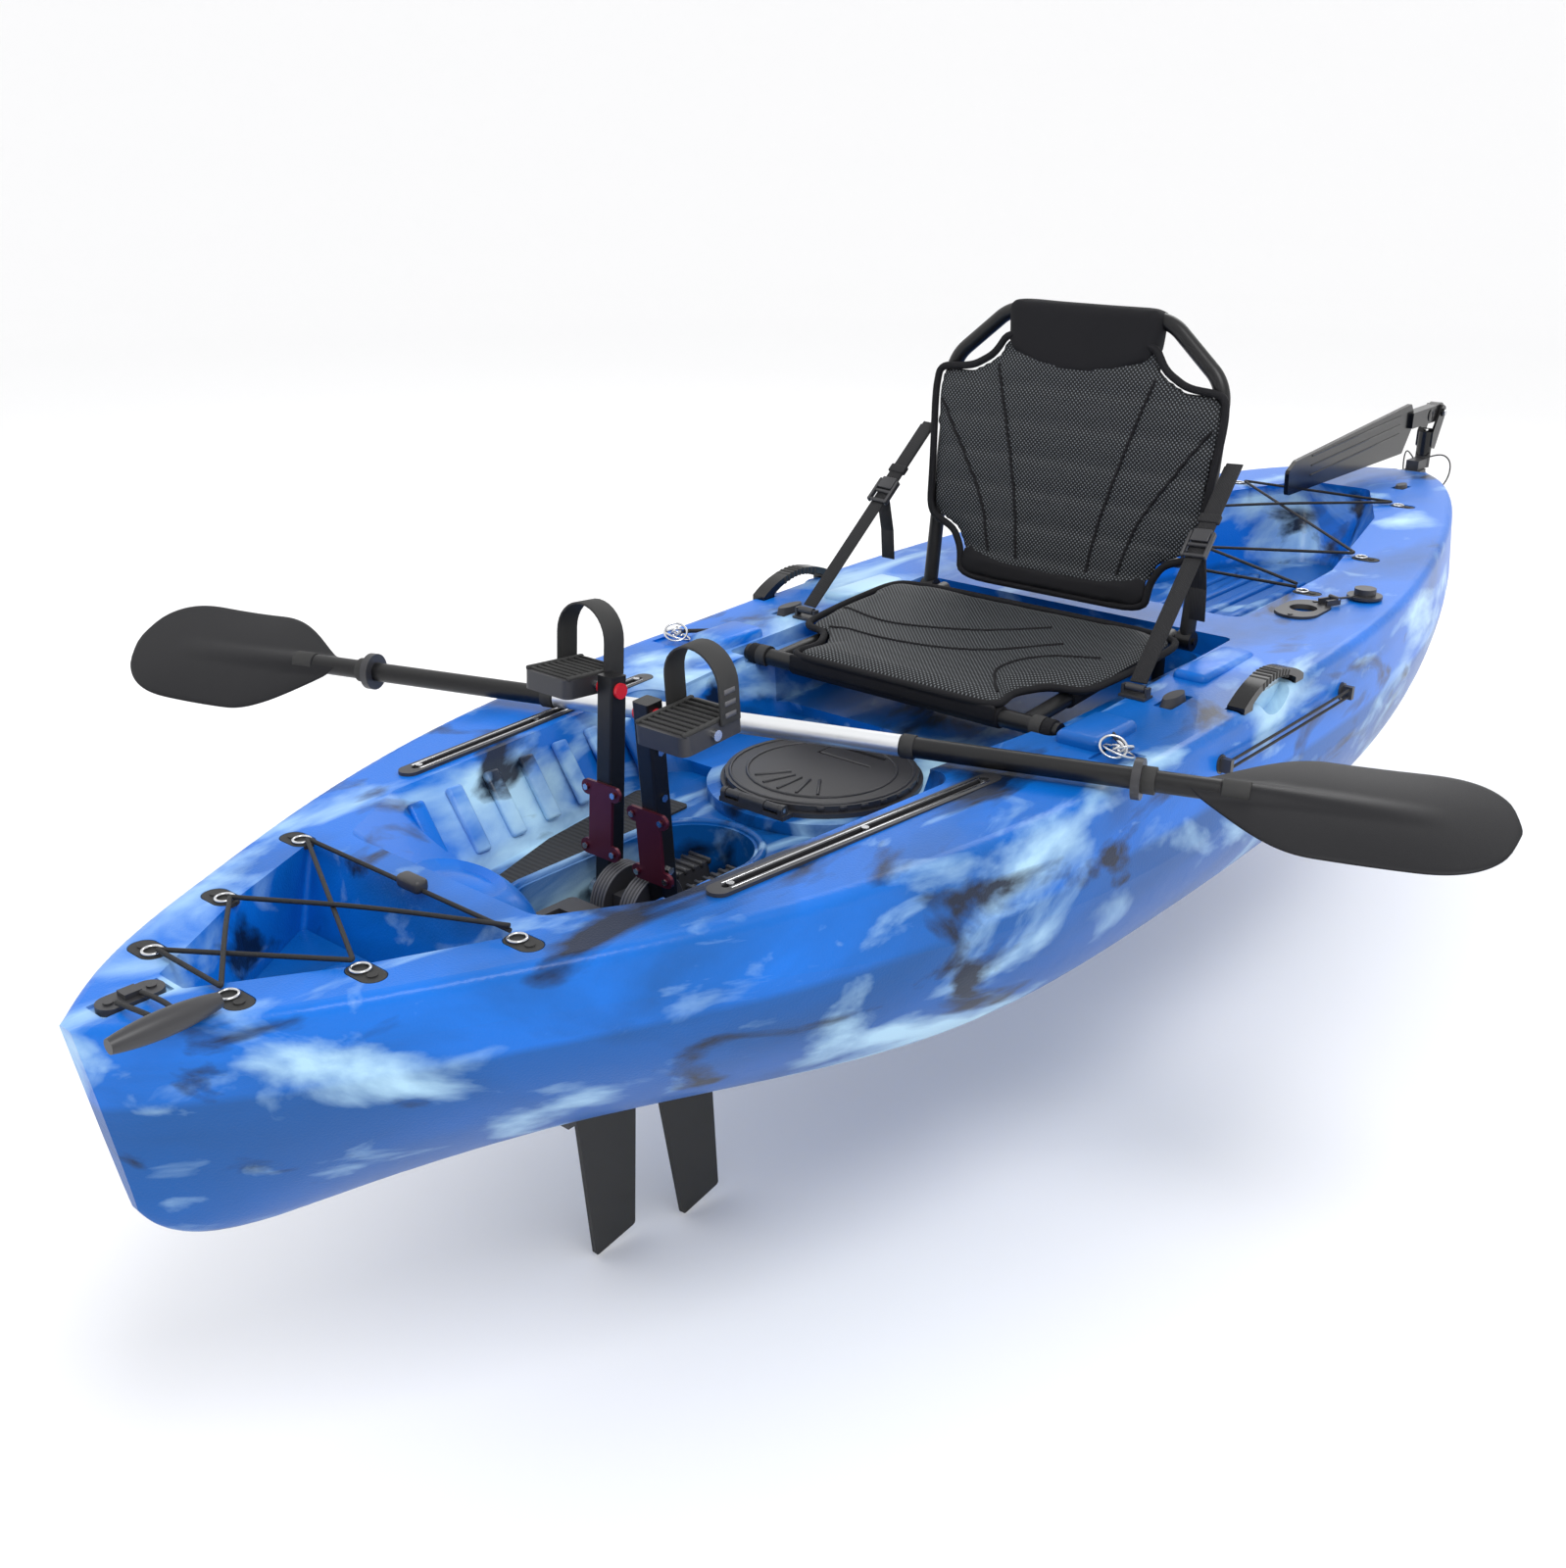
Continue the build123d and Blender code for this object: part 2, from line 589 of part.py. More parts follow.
rod_seat = seat_z(ROD_Y)
CAP_HINGE = Vector(ROD_X + 24.5, ROD_Y + 54.5, rod_seat + 15.5)
CAP_WAY = Vector(0.41, 0.912, 0).normalized()
CAP_AXIS = Vector(0.912, -0.41, 0).normalized()
CAP_REACH = 59.8
with BuildPart() as rod_holder:
    with BuildSketch(Plane.XY.offset(rod_seat)):
        with Locations((ROD_X, ROD_Y)):
            SlotOverall(104, 64, rotation=90)
    extrude(amount=7)
    with Locations(Plane(origin=(ROD_X, ROD_Y, rod_seat), z_dir=rod_axis())):
        Cylinder(ROD_BORE - FIT, ROD_DEPTH - 3, align=(Align.CENTER, Align.CENTER, Align.MIN))
    back = Vector(*rod_axis()) * -20
    with Locations(Plane(origin=Vector(ROD_X, ROD_Y, rod_seat) + back, z_dir=rod_axis())):
        Cylinder(
            ROD_BORE - 3, ROD_DEPTH + 10, align=(Align.CENTER, Align.CENTER, Align.MIN), mode=Mode.SUBTRACT
        )
    for step in (-44, 44):
        with Locations((ROD_X, ROD_Y + step, rod_seat + 7)):
            Cylinder(4, 1.5, align=(Align.CENTER, Align.CENTER, Align.MIN))
    for step in (-8, 8):
        foot = CAP_HINGE + CAP_AXIS * step
        with Locations(Plane(origin=foot, x_dir=CAP_AXIS, z_dir=(0, 0, 1))):
            with Locations((0, -9.5, -8.6)):
                Box(4, 26, 8.6, align=(Align.CENTER, Align.CENTER, Align.MIN))
        add(rod(foot - CAP_AXIS * 2, foot + CAP_AXIS * 2, 3.4))
    add(rod(CAP_HINGE - CAP_AXIS * 20, CAP_HINGE + CAP_AXIS * 20, 1.5), mode=Mode.SUBTRACT)
finish(rod_holder.part, "rod_holder")

with BuildPart() as rod_holder_cap:
    centre = CAP_HINGE + CAP_WAY * CAP_REACH
    with Locations((centre.X, centre.Y, CAP_HINGE.Z - 6.3)):
        Cylinder(26, 4, align=(Align.CENTER, Align.CENTER, Align.MIN))
    with Locations((centre.X, centre.Y, CAP_HINGE.Z - 3)):
        Cylinder(16, 11, align=(Align.CENTER, Align.CENTER, Align.MIN))
    add(rod(CAP_HINGE - (0, 0, 1.5), centre - (0, 0, 4.5), 1.9))
    add(rod(CAP_HINGE - CAP_AXIS * 5.5, CAP_HINGE + CAP_AXIS * 5.5, 3.4))
    add(rod(CAP_HINGE - CAP_AXIS * 20, CAP_HINGE + CAP_AXIS * 20, 1.5 + RUN), mode=Mode.SUBTRACT)
finish(rod_holder_cap.part, "rod_holder_cap")

# ---------------------------------------------------------------- deck hatch

HINGE_Y = HATCH_Y - HATCH_RADIUS - 8
HINGE_Z = MOUND_Z + 12
LID_Z = MOUND_Z + 6.3
with BuildPart() as hatch_ring:
    with Locations((0, HATCH_Y, MOUND_Z)):
        Cylinder(HATCH_RADIUS + 6, 6, align=(Align.CENTER, Align.CENTER, Align.MIN))
        Cylinder(HATCH_HOLE - 4, 30, mode=Mode.SUBTRACT)
    with Locations((0, HATCH_Y, MOUND_Z)):
        Cylinder(HATCH_HOLE - FIT, 14, align=(Align.CENTER, Align.CENTER, Align.MAX))
        Cylinder(HATCH_HOLE - 4, 60, mode=Mode.SUBTRACT)
    with Locations((0, HINGE_Y + 4, MOUND_Z)):
        Box(104, 20, 6, align=(Align.CENTER, Align.CENTER, Align.MIN))
    for low, high in ((-50, -43), (-20, 20), (43, 50)):
        add(rod((low, HINGE_Y, HINGE_Z), (high, HINGE_Y, HINGE_Z), 6))
        with Locations(((low + high) / 2, HINGE_Y, MOUND_Z)):
            Box(high - low, 12, 12, align=(Align.CENTER, Align.CENTER, Align.MIN))
    add(rod((-60, HINGE_Y, HINGE_Z), (60, HINGE_Y, HINGE_Z), 2.5), mode=Mode.SUBTRACT)
finish(hatch_ring.part, "hatch_ring")

LATCH_Y = HATCH_Y + 62
LATCH_Z = LID_Z + 5.3
with BuildPart() as hatch_lid:
    with Locations((0, HATCH_Y, LID_Z)):
        Cylinder(HATCH_RADIUS, HATCH_LID, align=(Align.CENTER, Align.CENTER, Align.MIN))
    with Locations((0, HATCH_Y, LID_Z)):
        Cylinder(HATCH_HOLE + 13, 1.4, align=(Align.CENTER, Align.CENTER, Align.MIN), mode=Mode.SUBTRACT)
    with Locations((0, LATCH_Y, LID_Z + 3)):
        Box(86, 40, HATCH_LID, align=(Align.CENTER, Align.CENTER, Align.MIN), mode=Mode.SUBTRACT)
    for hand in HANDS.values():
        low, high = sorted((hand * 21, hand * 42))
        add(rod((low, HINGE_Y, HINGE_Z), (high, HINGE_Y, HINGE_Z), 5.4))
        with Locations(((low + high) / 2, HINGE_Y, LID_Z + 0.6)):
            Box(high - low, 24, HATCH_LID - 2, align=(Align.CENTER, Align.MIN, Align.MIN))
    add(rod((-60, HINGE_Y, HINGE_Z), (60, HINGE_Y, HINGE_Z), 2.5 + RUN), mode=Mode.SUBTRACT)
    latch_bore = rod((-46, LATCH_Y - 12, LATCH_Z), (46, LATCH_Y - 12, LATCH_Z), 1.2 + RUN)
    add(latch_bore, mode=Mode.SUBTRACT)
finish(hatch_lid.part, "hatch_lid")

with BuildPart() as hinge_pins:
    add(rod((-50, HINGE_Y, HINGE_Z), (50, HINGE_Y, HINGE_Z), 2.5))
    add(rod(CAP_HINGE - CAP_AXIS * 10, CAP_HINGE + CAP_AXIS * 10, 1.5))
finish(hinge_pins.part, "hinge_pins")

with BuildPart() as hatch_latch:
    with Locations((0, LATCH_Y - 12, LATCH_Z)):
        Box(84, 26, 4, align=(Align.CENTER, Align.MIN, Align.CENTER))
    add(rod((-42, LATCH_Y - 12, LATCH_Z), (42, LATCH_Y - 12, LATCH_Z), 2))
    add(rod((-45.5, LATCH_Y - 12, LATCH_Z), (45.5, LATCH_Y - 12, LATCH_Z), 1.2))
finish(hatch_latch.part, "hatch_latch")

# ---------------------------------------------------------------- pedal fin drive

CHEEK = 10.0
with BuildPart() as drive_base:
    with BuildSketch(Plane.XY.offset(DRIVE_WELL_Z)):
        with Locations((0, DRIVE_Y)):
            SlotOverall(SLOT_LENGTH + 34, DRIVE_WELL_WIDTH - 24, rotation=90)
    extrude(amount=12)
    with BuildSketch(Plane.XY.offset(-8)):
        with Locations((0, DRIVE_Y)):
            SlotOverall(SLOT_LENGTH - 10, SLOT_WIDTH - 8, rotation=90)
    extrude(amount=DRIVE_WELL_Z + 10)
    with Locations((0, DRIVE_Y, DRIVE_WELL_Z)):
        Box(2 * CHEEK, 56, PIVOT_Z - DRIVE_WELL_Z + 18, align=(Align.CENTER, Align.CENTER, Align.MIN))
    for step in (-128, 0, 128):
        with Locations((0, DRIVE_Y + step, FIN_AXIS_Z - 13)):
            Box(26, 12, 34, align=(Align.CENTER, Align.CENTER, Align.MIN))
    add(rod((-40, DRIVE_Y, PIVOT_Z), (40, DRIVE_Y, PIVOT_Z), AXLE_RADIUS), mode=Mode.SUBTRACT)
    pin = rod((0, DRIVE_Y - 150, FIN_AXIS_Z), (0, DRIVE_Y + 150, FIN_AXIS_Z), FIN_AXLE)
    add(pin, mode=Mode.SUBTRACT)
finish(drive_base.part, "drive_base")

with BuildPart() as front_housing:
    with Locations((0, DRIVE_Y - 108, DRIVE_WELL_Z + 12)):
        Box(58, 72, 92, align=(Align.CENTER, Align.CENTER, Align.MIN))
    fillet(front_housing.edges().filter_by(Axis.Z), 8)
    with Locations((0, DRIVE_Y - 118, DRIVE_WELL_Z + 80)):
        Box(34, 30, 40, align=(Align.CENTER, Align.CENTER, Align.MIN), mode=Mode.SUBTRACT)
        Box(32, 28, 16, align=(Align.CENTER, Align.CENTER, Align.MIN))
finish(front_housing.part, "front_latch_housing")

with BuildPart() as rear_housings:
    for hand in HANDS.values():
        with BuildSketch(Plane.XY.offset(DRIVE_WELL_Z + 12)):
            with Locations((hand * 31, DRIVE_Y + 102)):
                SlotOverall(104, 50, rotation=90)
        extrude(amount=66, taper=8)
finish(rear_housings.part, "rear_housings")

with BuildPart() as arm_axle:
    add(rod((-68, DRIVE_Y, PIVOT_Z), (68, DRIVE_Y, PIVOT_Z), AXLE_RADIUS))
    for low in (-68, 62):
        add(rod((low, DRIVE_Y, PIVOT_Z), (low + 6, DRIVE_Y, PIVOT_Z), 12))
finish(arm_axle.part, "arm_axle")
finish(rod((0, DRIVE_Y - 140, FIN_AXIS_Z), (0, DRIVE_Y + 140, FIN_AXIS_Z), FIN_AXLE), "fin_axle")

DRUM_RADIUS = 42.0
with BuildPart() as drive_cables:
    for hand in HANDS.values():
        for step in (-1, 1):
            y = DRIVE_Y + step * (DRUM_RADIUS + 2)
            add(rod((hand * 20, y, DRIVE_WELL_Z + 12), (hand * 20, y, PIVOT_Z), 1.6))
finish(drive_cables.part, "drive_cables")


def tilted(piece, angle):
    """A piece of a pedal arm turned about the arm axle by an angle, forwards when positive."""
    return piece.rotate(Axis((0, DRIVE_Y, PIVOT_Z), (1, 0, 0)), angle)


SPINDLE_Z = PIVOT_Z + ARM_LENGTH - 16
for side, hand in HANDS.items():
    lean = hand * ARM_SPLAY
    middle = hand * ARM_SPREAD
    outer = hand * (ARM_SPREAD + ARM_WIDTH / 2)
    with BuildPart() as pedal_arm:
        with Locations((middle, DRIVE_Y, PIVOT_Z - 16)):
            Box(ARM_WIDTH, ARM_WIDTH, ARM_LENGTH + 16, align=(Align.CENTER, Align.CENTER, Align.MIN))
        fillet(pedal_arm.edges().filter_by(Axis.Z), 3)
        with Locations((middle, DRIVE_Y, PIVOT_Z + 24)):
            Box(
                ARM_WIDTH - 2 * ARM_WALL,
                ARM_WIDTH - 2 * ARM_WALL,
                ARM_LENGTH - 56,
                align=(Align.CENTER, Align.CENTER, Align.MIN),
                mode=Mode.SUBTRACT,
            )
        for height, radius in ((PIVOT_Z, AXLE_RADIUS + RUN), (SPINDLE_Z, SPINDLE_RADIUS)):
            hole = rod((middle - 30, DRIVE_Y, height), (middle + 30, DRIVE_Y, height), radius)
            add(hole, mode=Mode.SUBTRACT)
    finish(tilted(pedal_arm.part, lean), f"pedal_arm_{side}")

    with BuildPart() as arm_bracket:
        front = DRIVE_Y - ARM_WIDTH / 2
        with BuildSketch(Plane(origin=(middle, front, PIVOT_Z), x_dir=(1, 0, 0), z_dir=(0, -1, 0))) as face:
            with Locations((0, 92)):
                Rectangle(36, 90)
            for high in (56, 128):
                with Locations((0, high)):
                    SlotOverall(62, 18)
        extrude(amount=4)
        for high in (56, 128):
            for x in (-22, 22):
                with Locations(Plane(origin=(middle + x, front - 4, PIVOT_Z + high), z_dir=(0, -1, 0))):
                    Cylinder(3.6, 2, align=(Align.CENTER, Align.CENTER, Align.MIN))
    finish(tilted(arm_bracket.part, lean), f"arm_bracket_{side}")

    with BuildPart() as arm_drum:
        low, high = sorted((hand * (CHEEK + 2), hand * (ARM_SPREAD - ARM_WIDTH / 2)))
        add(rod((low, DRIVE_Y, PIVOT_Z), (high, DRIVE_Y, PIVOT_Z), DRUM_RADIUS))
        hole = rod((low - 1, DRIVE_Y, PIVOT_Z), (high + 1, DRIVE_Y, PIVOT_Z), AXLE_RADIUS + RUN)
        add(hole, mode=Mode.SUBTRACT)
    finish(tilted(arm_drum.part, lean), f"arm_drum_{side}")

    spindle_end = outer + hand * (PEDAL_WIDTH + 16)
    low, high = sorted((middle - hand * ARM_WIDTH / 2, spindle_end))
    spindle = rod((low, DRIVE_Y, SPINDLE_Z), (high, DRIVE_Y, SPINDLE_Z), SPINDLE_RADIUS)
    finish(tilted(spindle, lean), f"pedal_spindle_{side}")

    with BuildPart() as spindle_bushes:
        for near in (outer, middle - hand * ARM_WIDTH / 2 - hand * 4):
            low, high = sorted((near, near + hand * 4))
            add(rod((low, DRIVE_Y, SPINDLE_Z), (high, DRIVE_Y, SPINDLE_Z), 9))
        low, high = sorted((outer - hand * 4, outer + hand * 4))
        add(rod((low, DRIVE_Y, SPINDLE_Z), (high, DRIVE_Y, SPINDLE_Z), SPINDLE_RADIUS), mode=Mode.SUBTRACT)
    finish(tilted(spindle_bushes.part, lean), f"spindle_bushes_{side}")

    pedal_near = outer + hand * 11
    pedal_mid = pedal_near + hand * PEDAL_WIDTH / 2
    with BuildPart() as pedal:
        with Locations((pedal_mid, DRIVE_Y, SPINDLE_Z)):
            Box(PEDAL_WIDTH, PEDAL_LENGTH, PEDAL_HEIGHT)
        fillet(pedal.edges().filter_by(Axis.Z), 10)
        hole = rod((-300, DRIVE_Y, SPINDLE_Z), (300, DRIVE_Y, SPINDLE_Z), SPINDLE_RADIUS + RUN)
        add(hole, mode=Mode.SUBTRACT)
    finish(tilted(pedal.part, lean), f"pedal_{side}")

    with BuildPart() as pedal_strap:
        near, far = sorted((pedal_near - hand * FIT, pedal_near + hand * (PEDAL_WIDTH + FIT)))
        strap_y = DRIVE_Y + SPINDLE_RADIUS + 2 + STRAP_WIDTH / 2
        with BuildSketch(Plane(origin=(0, strap_y, 0), x_dir=(1, 0, 0), z_dir=(0, -1, 0))) as arch:
            top = SPINDLE_Z + PEDAL_HEIGHT / 2 + STRAP_RISE
            foot = SPINDLE_Z - PEDAL_HEIGHT / 2 - 4
            spring_line = top - (far - near) / 2
            for grow, mode in ((3, Mode.ADD), (0, Mode.SUBTRACT)):
                with Locations(((near + far) / 2, spring_line)):
                    Circle((far - near) / 2 + grow, mode=mode)
                with Locations(((near + far) / 2, (spring_line + foot) / 2)):
                    Rectangle(far - near + 2 * grow, spring_line - foot, mode=mode)
        extrude(amount=STRAP_WIDTH / 2, both=True)
    finish(tilted(pedal_strap.part, lean), f"pedal_strap_{side}")

FIN_LEAN = 3.0
for name, step, lean in (("front", -64, FIN_LEAN), ("rear", 64, -FIN_LEAN)):
    middle = DRIVE_Y + step
    hub_half = 57.0
    with BuildPart() as fin:
        add(rod((0, middle - hub_half, FIN_AXIS_Z), (0, middle + hub_half, FIN_AXIS_Z), 12))
        front, top = middle - FIN_CHORD / 2, FIN_AXIS_Z - 6
        bottom = FIN_AXIS_Z - FIN_SPAN
        blade = [
            (front, top),
            (front + FIN_CHORD, top),
            (front + FIN_CHORD, bottom + 12),
            (front + FIN_CHORD - FIN_TIP_CHORD, bottom),
        ]
        add(plate_yz(blade, FIN_THICK, -FIN_THICK / 2, 5))
        add(
            rod((0, middle - 80, FIN_AXIS_Z), (0, middle + 80, FIN_AXIS_Z), FIN_AXLE + RUN),
            mode=Mode.SUBTRACT,
        )
    finish(fin.part.rotate(Axis((0, 0, FIN_AXIS_Z), (0, 1, 0)), lean), f"{name}_fin")

# ---------------------------------------------------------------- seat

REAR_BAR_Y = SEAT_Y - 28
with BuildPart() as seat_base_frame:
    add(rod((-SEAT_HALF, SEAT_FRONT_Y, SEAT_FRONT_Z), (SEAT_HALF, SEAT_FRONT_Y, SEAT_FRONT_Z), SEAT_BAR))
    for hand in HANDS.values():
        front = (hand * SEAT_SIDE_FRONT, SEAT_FRONT_Y, SEAT_FRONT_Z)
        add(rod(front, (hand * SEAT_SIDE_REAR, SEAT_Y + 6, SEAT_REAR_Z), BACK_TUBE))
        low, high = sorted((hand * SEAT_SIDE_REAR, hand * (BACK_HALF + 14)))
        add(rod((low, SEAT_Y, SEAT_REAR_Z), (high, SEAT_Y, SEAT_REAR_Z), PIVOT_BOLT))
        foot = (hand * SEAT_SIDE_REAR, REAR_BAR_Y)
        add(rod((*foot, SEAT_FLOOR_Z), (*foot, SEAT_REAR_Z), 9))
    add(rod((-SEAT_SIDE_REAR, REAR_BAR_Y, 350), (SEAT_SIDE_REAR, REAR_BAR_Y, 350), 9))
finish(seat_base_frame.part, "seat_base_frame")

with BuildPart() as seat_bar_sleeves:
    for hand in HANDS.values():
        low, high = sorted((hand * (SEAT_SIDE_FRONT + 14), hand * (SEAT_SIDE_FRONT + 30)))
        add(rod((low, SEAT_FRONT_Y, SEAT_FRONT_Z), (high, SEAT_FRONT_Y, SEAT_FRONT_Z), SEAT_BAR + 3))
    bar = rod((-300, SEAT_FRONT_Y, SEAT_FRONT_Z), (300, SEAT_FRONT_Y, SEAT_FRONT_Z), SEAT_BAR + FIT)
    add(bar, mode=Mode.SUBTRACT)
    with Locations((0, SEAT_FRONT_Y, SEAT_SHELF_Z)):
        Box(600, 60, 20, align=(Align.CENTER, Align.CENTER, Align.MAX), mode=Mode.SUBTRACT)
finish(seat_bar_sleeves.part, "seat_bar_sleeves")

base_tilt = degrees(atan2(SEAT_REAR_Z - SEAT_FRONT_Z, SEAT_DEPTH))
up = (0, -sin(radians(base_tilt)), cos(radians(base_tilt)))
BASE_PLANE = Plane(origin=(0, SEAT_FRONT_Y, SEAT_FRONT_Z + SEAT_BAR + 0.7), x_dir=(1, 0, 0), z_dir=up)
with BuildPart() as seat_base_fabric:
    with BuildSketch(BASE_PLANE) as base_outline:
        with BuildLine():
            Polyline(
                (168, -12), (186, 70), (246, 200), (246, 340),
                (-246, 340), (-246, 200), (-186, 70), (-168, -12),
                close=True,
            )
        make_face()
        fillet(base_outline.vertices(), 12)
    extrude(amount=13)
finish(seat_base_fabric.part, "seat_base_fabric")

BACK_UP = (0, sin(radians(BACK_LEAN)), cos(radians(BACK_LEAN)))
BACK_FRONT = (0, -cos(radians(BACK_LEAN)), sin(radians(BACK_LEAN)))
BACK_PLANE = Plane(origin=(0, SEAT_Y, SEAT_REAR_Z), x_dir=(1, 0, 0), z_dir=BACK_FRONT)
with BuildPart() as seat_back_frame:
    with BuildLine(BACK_PLANE) as arch:
        FilletPolyline(
            (BACK_HALF, 0),
            (BACK_HALF, BACK_HEIGHT - 78),
            (BACK_HALF - 92, BACK_HEIGHT),
            (92 - BACK_HALF, BACK_HEIGHT),
            (-BACK_HALF, BACK_HEIGHT - 78),
            (-BACK_HALF, 0),
            radius=60,
        )
    with BuildSketch(Plane(origin=arch.line @ 0, z_dir=arch.line % 0)):
        Circle(BACK_TUBE)
    sweep()
    for hand in HANDS.values():
        low, high = sorted((hand * (BACK_HALF - 11), hand * (BACK_HALF + 11)))
        add(rod((low, SEAT_Y, SEAT_REAR_Z), (high, SEAT_Y, SEAT_REAR_Z), 14))
    add(rod((-260, SEAT_Y, SEAT_REAR_Z), (260, SEAT_Y, SEAT_REAR_Z), PIVOT_BOLT + RUN), mode=Mode.SUBTRACT)
finish(seat_back_frame.part, "seat_back_frame")

with BuildPart() as seat_back_fabric:
    with BuildSketch(BACK_PLANE.offset(BACK_TUBE + FIT)) as back_outline:
        with BuildLine():
            half = [(176, 28), (190, 66), (222, 96), (214, 250), (206, 350), (140, 366), (112, 422)]
            Polyline(*half, *[(-x, h) for x, h in reversed(half)], close=True)
        make_face()
        fillet(back_outline.vertices(), 10)
    extrude(amount=12)
finish(seat_back_fabric.part, "seat_back_fabric")

HOOK_X, HOOK_Y = 276.0, SEAT_Y - 238
HOOK_Z = deck_z(HOOK_Y) + 12
STRAP_HIGH = 250.0
strap_far = Vector(*BACK_UP) * STRAP_HIGH + (0, SEAT_Y, SEAT_REAR_Z)
with BuildPart() as strap_hooks:
    for hand in HANDS.values():
        with Locations((hand * HOOK_X, HOOK_Y, deck_z(HOOK_Y) + 0.3)):
            Box(38, 22, 3, align=(Align.CENTER, Align.CENTER, Align.MIN))
            for step in (-17, 17):
                with Locations((step, 0)):
                    Box(4, 10, 15, align=(Align.CENTER, Align.CENTER, Align.MIN))
        add(rod((hand * HOOK_X - 18, HOOK_Y, HOOK_Z), (hand * HOOK_X + 18, HOOK_Y, HOOK_Z), 3))
finish(strap_hooks.part, "strap_hooks")

for side, hand in HANDS.items():
    with BuildPart() as seat_strap:
        hook = Vector(hand * HOOK_X, HOOK_Y, HOOK_Z)
        run = Vector(hand * 254, strap_far.Y, strap_far.Z) - hook
        across = Vector(0, -run.Z, run.Y).normalized()
        band = Plane(origin=hook, x_dir=run.normalized(), z_dir=across)
        with BuildSketch(band.offset(-1.2)):
            with Locations((4, 0)):
                Rectangle(run.length - 4, 24, align=(Align.MIN, Align.CENTER))
        extrude(amount=2.4)
        with BuildSketch(band.offset(-3)):
            with Locations((run.length * 0.62, 0)):
                Rectangle(40, 32)
        extrude(amount=6)
        add(rod(hook - (13, 0, 0), hook + (13, 0, 0), 5.5))
        add(rod(hook - (20, 0, 0), hook + (20, 0, 0), 3 + RUN), mode=Mode.SUBTRACT)
    finish(seat_strap.part, f"seat_strap_{side}")

# ---------------------------------------------------------------- rudder

BRACKET_Z = seat_z(BRACKET_Y + 32)
FLIP_Y = YAW_Y + 34
with BuildPart() as rudder_bracket:
    with BuildSketch(Plane.XY.offset(BRACKET_Z)):
        with Locations((0, BRACKET_Y)):
            RectangleRounded(36, 62, 6)
    extrude(amount=9)
    with Locations((0, (BRACKET_Y + YAW_Y) / 2, BRACKET_Z + 9)):
        Box(26, YAW_Y - BRACKET_Y + 14, 20, align=(Align.CENTER, Align.CENTER, Align.MIN))
    with Locations((0, YAW_Y, BRACKET_Z + 9)):
        Cylinder(15, 24, align=(Align.CENTER, Align.CENTER, Align.MIN))
        Cylinder(SPINDLE_RADIUS, 72, align=(Align.CENTER, Align.CENTER, Align.MIN))
    for x in (-12, 12):
        with Locations((x, BRACKET_Y - 22, BRACKET_Z + 9)):
            Cylinder(4, 2, align=(Align.CENTER, Align.CENTER, Align.MIN))
finish(rudder_bracket.part, "rudder_bracket")

YOKE_Z = BRACKET_Z + 33 + 0.5
with BuildPart() as rudder_yoke:
    with Locations((0, YAW_Y, YOKE_Z)):
        Cylinder(15, 50, align=(Align.CENTER, Align.CENTER, Align.MIN))
    with BuildSketch(Plane.YZ.offset(-17)) as cheek:
        with BuildLine():
            Polyline(
                (YAW_Y - 6, YOKE_Z + 20), (YAW_Y + 14, YOKE_Z + 12), (FLIP_Y + 15, RUDDER_PIVOT_Z - 8),
                (FLIP_Y + 15, RUDDER_PIVOT_Z + 10), (FLIP_Y - 4, RUDDER_PIVOT_Z + 18),
                (YAW_Y - 6, YOKE_Z + 50),
                close=True,
            )
        make_face()
        fillet(cheek.vertices(), 5)
    extrude(amount=34)
    with Locations((0, FLIP_Y, RUDDER_PIVOT_Z)):
        Cylinder(46, 24, rotation=(0, 90, 0), mode=Mode.SUBTRACT)
    with Locations((0, YAW_Y, YOKE_Z - 5)):
        hole = SPINDLE_RADIUS + RUN
        Cylinder(hole, 60, align=(Align.CENTER, Align.CENTER, Align.MIN), mode=Mode.SUBTRACT)
    add(rod((-17, FLIP_Y, RUDDER_PIVOT_Z), (17, FLIP_Y, RUDDER_PIVOT_Z), 4))
    for low in (-20, 17):
        add(rod((low, FLIP_Y, RUDDER_PIVOT_Z), (low + 3, FLIP_Y, RUDDER_PIVOT_Z), 8))
finish(rudder_yoke.part, "rudder_yoke")

with BuildPart() as rudder_blade:
    add(rod((-11, FLIP_Y, RUDDER_PIVOT_Z), (11, FLIP_Y, RUDDER_PIVOT_Z), 20))
    tip = FLIP_Y - RUDDER_BLADE - 130
    head = [
        (FLIP_Y, RUDDER_PIVOT_Z + 17),
        (FLIP_Y, RUDDER_PIVOT_Z - 17),
        (FLIP_Y - 150, RUDDER_PIVOT_Z - 16),
        (FLIP_Y - 150, RUDDER_PIVOT_Z + 16),
    ]
    add(plate_yz(head, 22, -11, 3))
    blade = [
        (FLIP_Y - 130, RUDDER_PIVOT_Z + 12),
        (FLIP_Y - 150, RUDDER_PIVOT_Z + 34),
        (tip + 30, RUDDER_PIVOT_Z - 4),
        (tip, RUDDER_PIVOT_Z - 20),
        (tip + 4, RUDDER_PIVOT_Z - RUDDER_CHORD + 32),
        (FLIP_Y - 170, RUDDER_PIVOT_Z - RUDDER_CHORD + 32),
        (FLIP_Y - 130, RUDDER_PIVOT_Z - 14),
    ]
    add(plate_yz(blade, RUDDER_THICK, -RUDDER_THICK / 2, 8))
    add(rod((-20, FLIP_Y, RUDDER_PIVOT_Z), (20, FLIP_Y, RUDDER_PIVOT_Z), 4 + RUN), mode=Mode.SUBTRACT)
finish(rudder_blade.part, "rudder_blade")

# ---------------------------------------------------------------- paddle

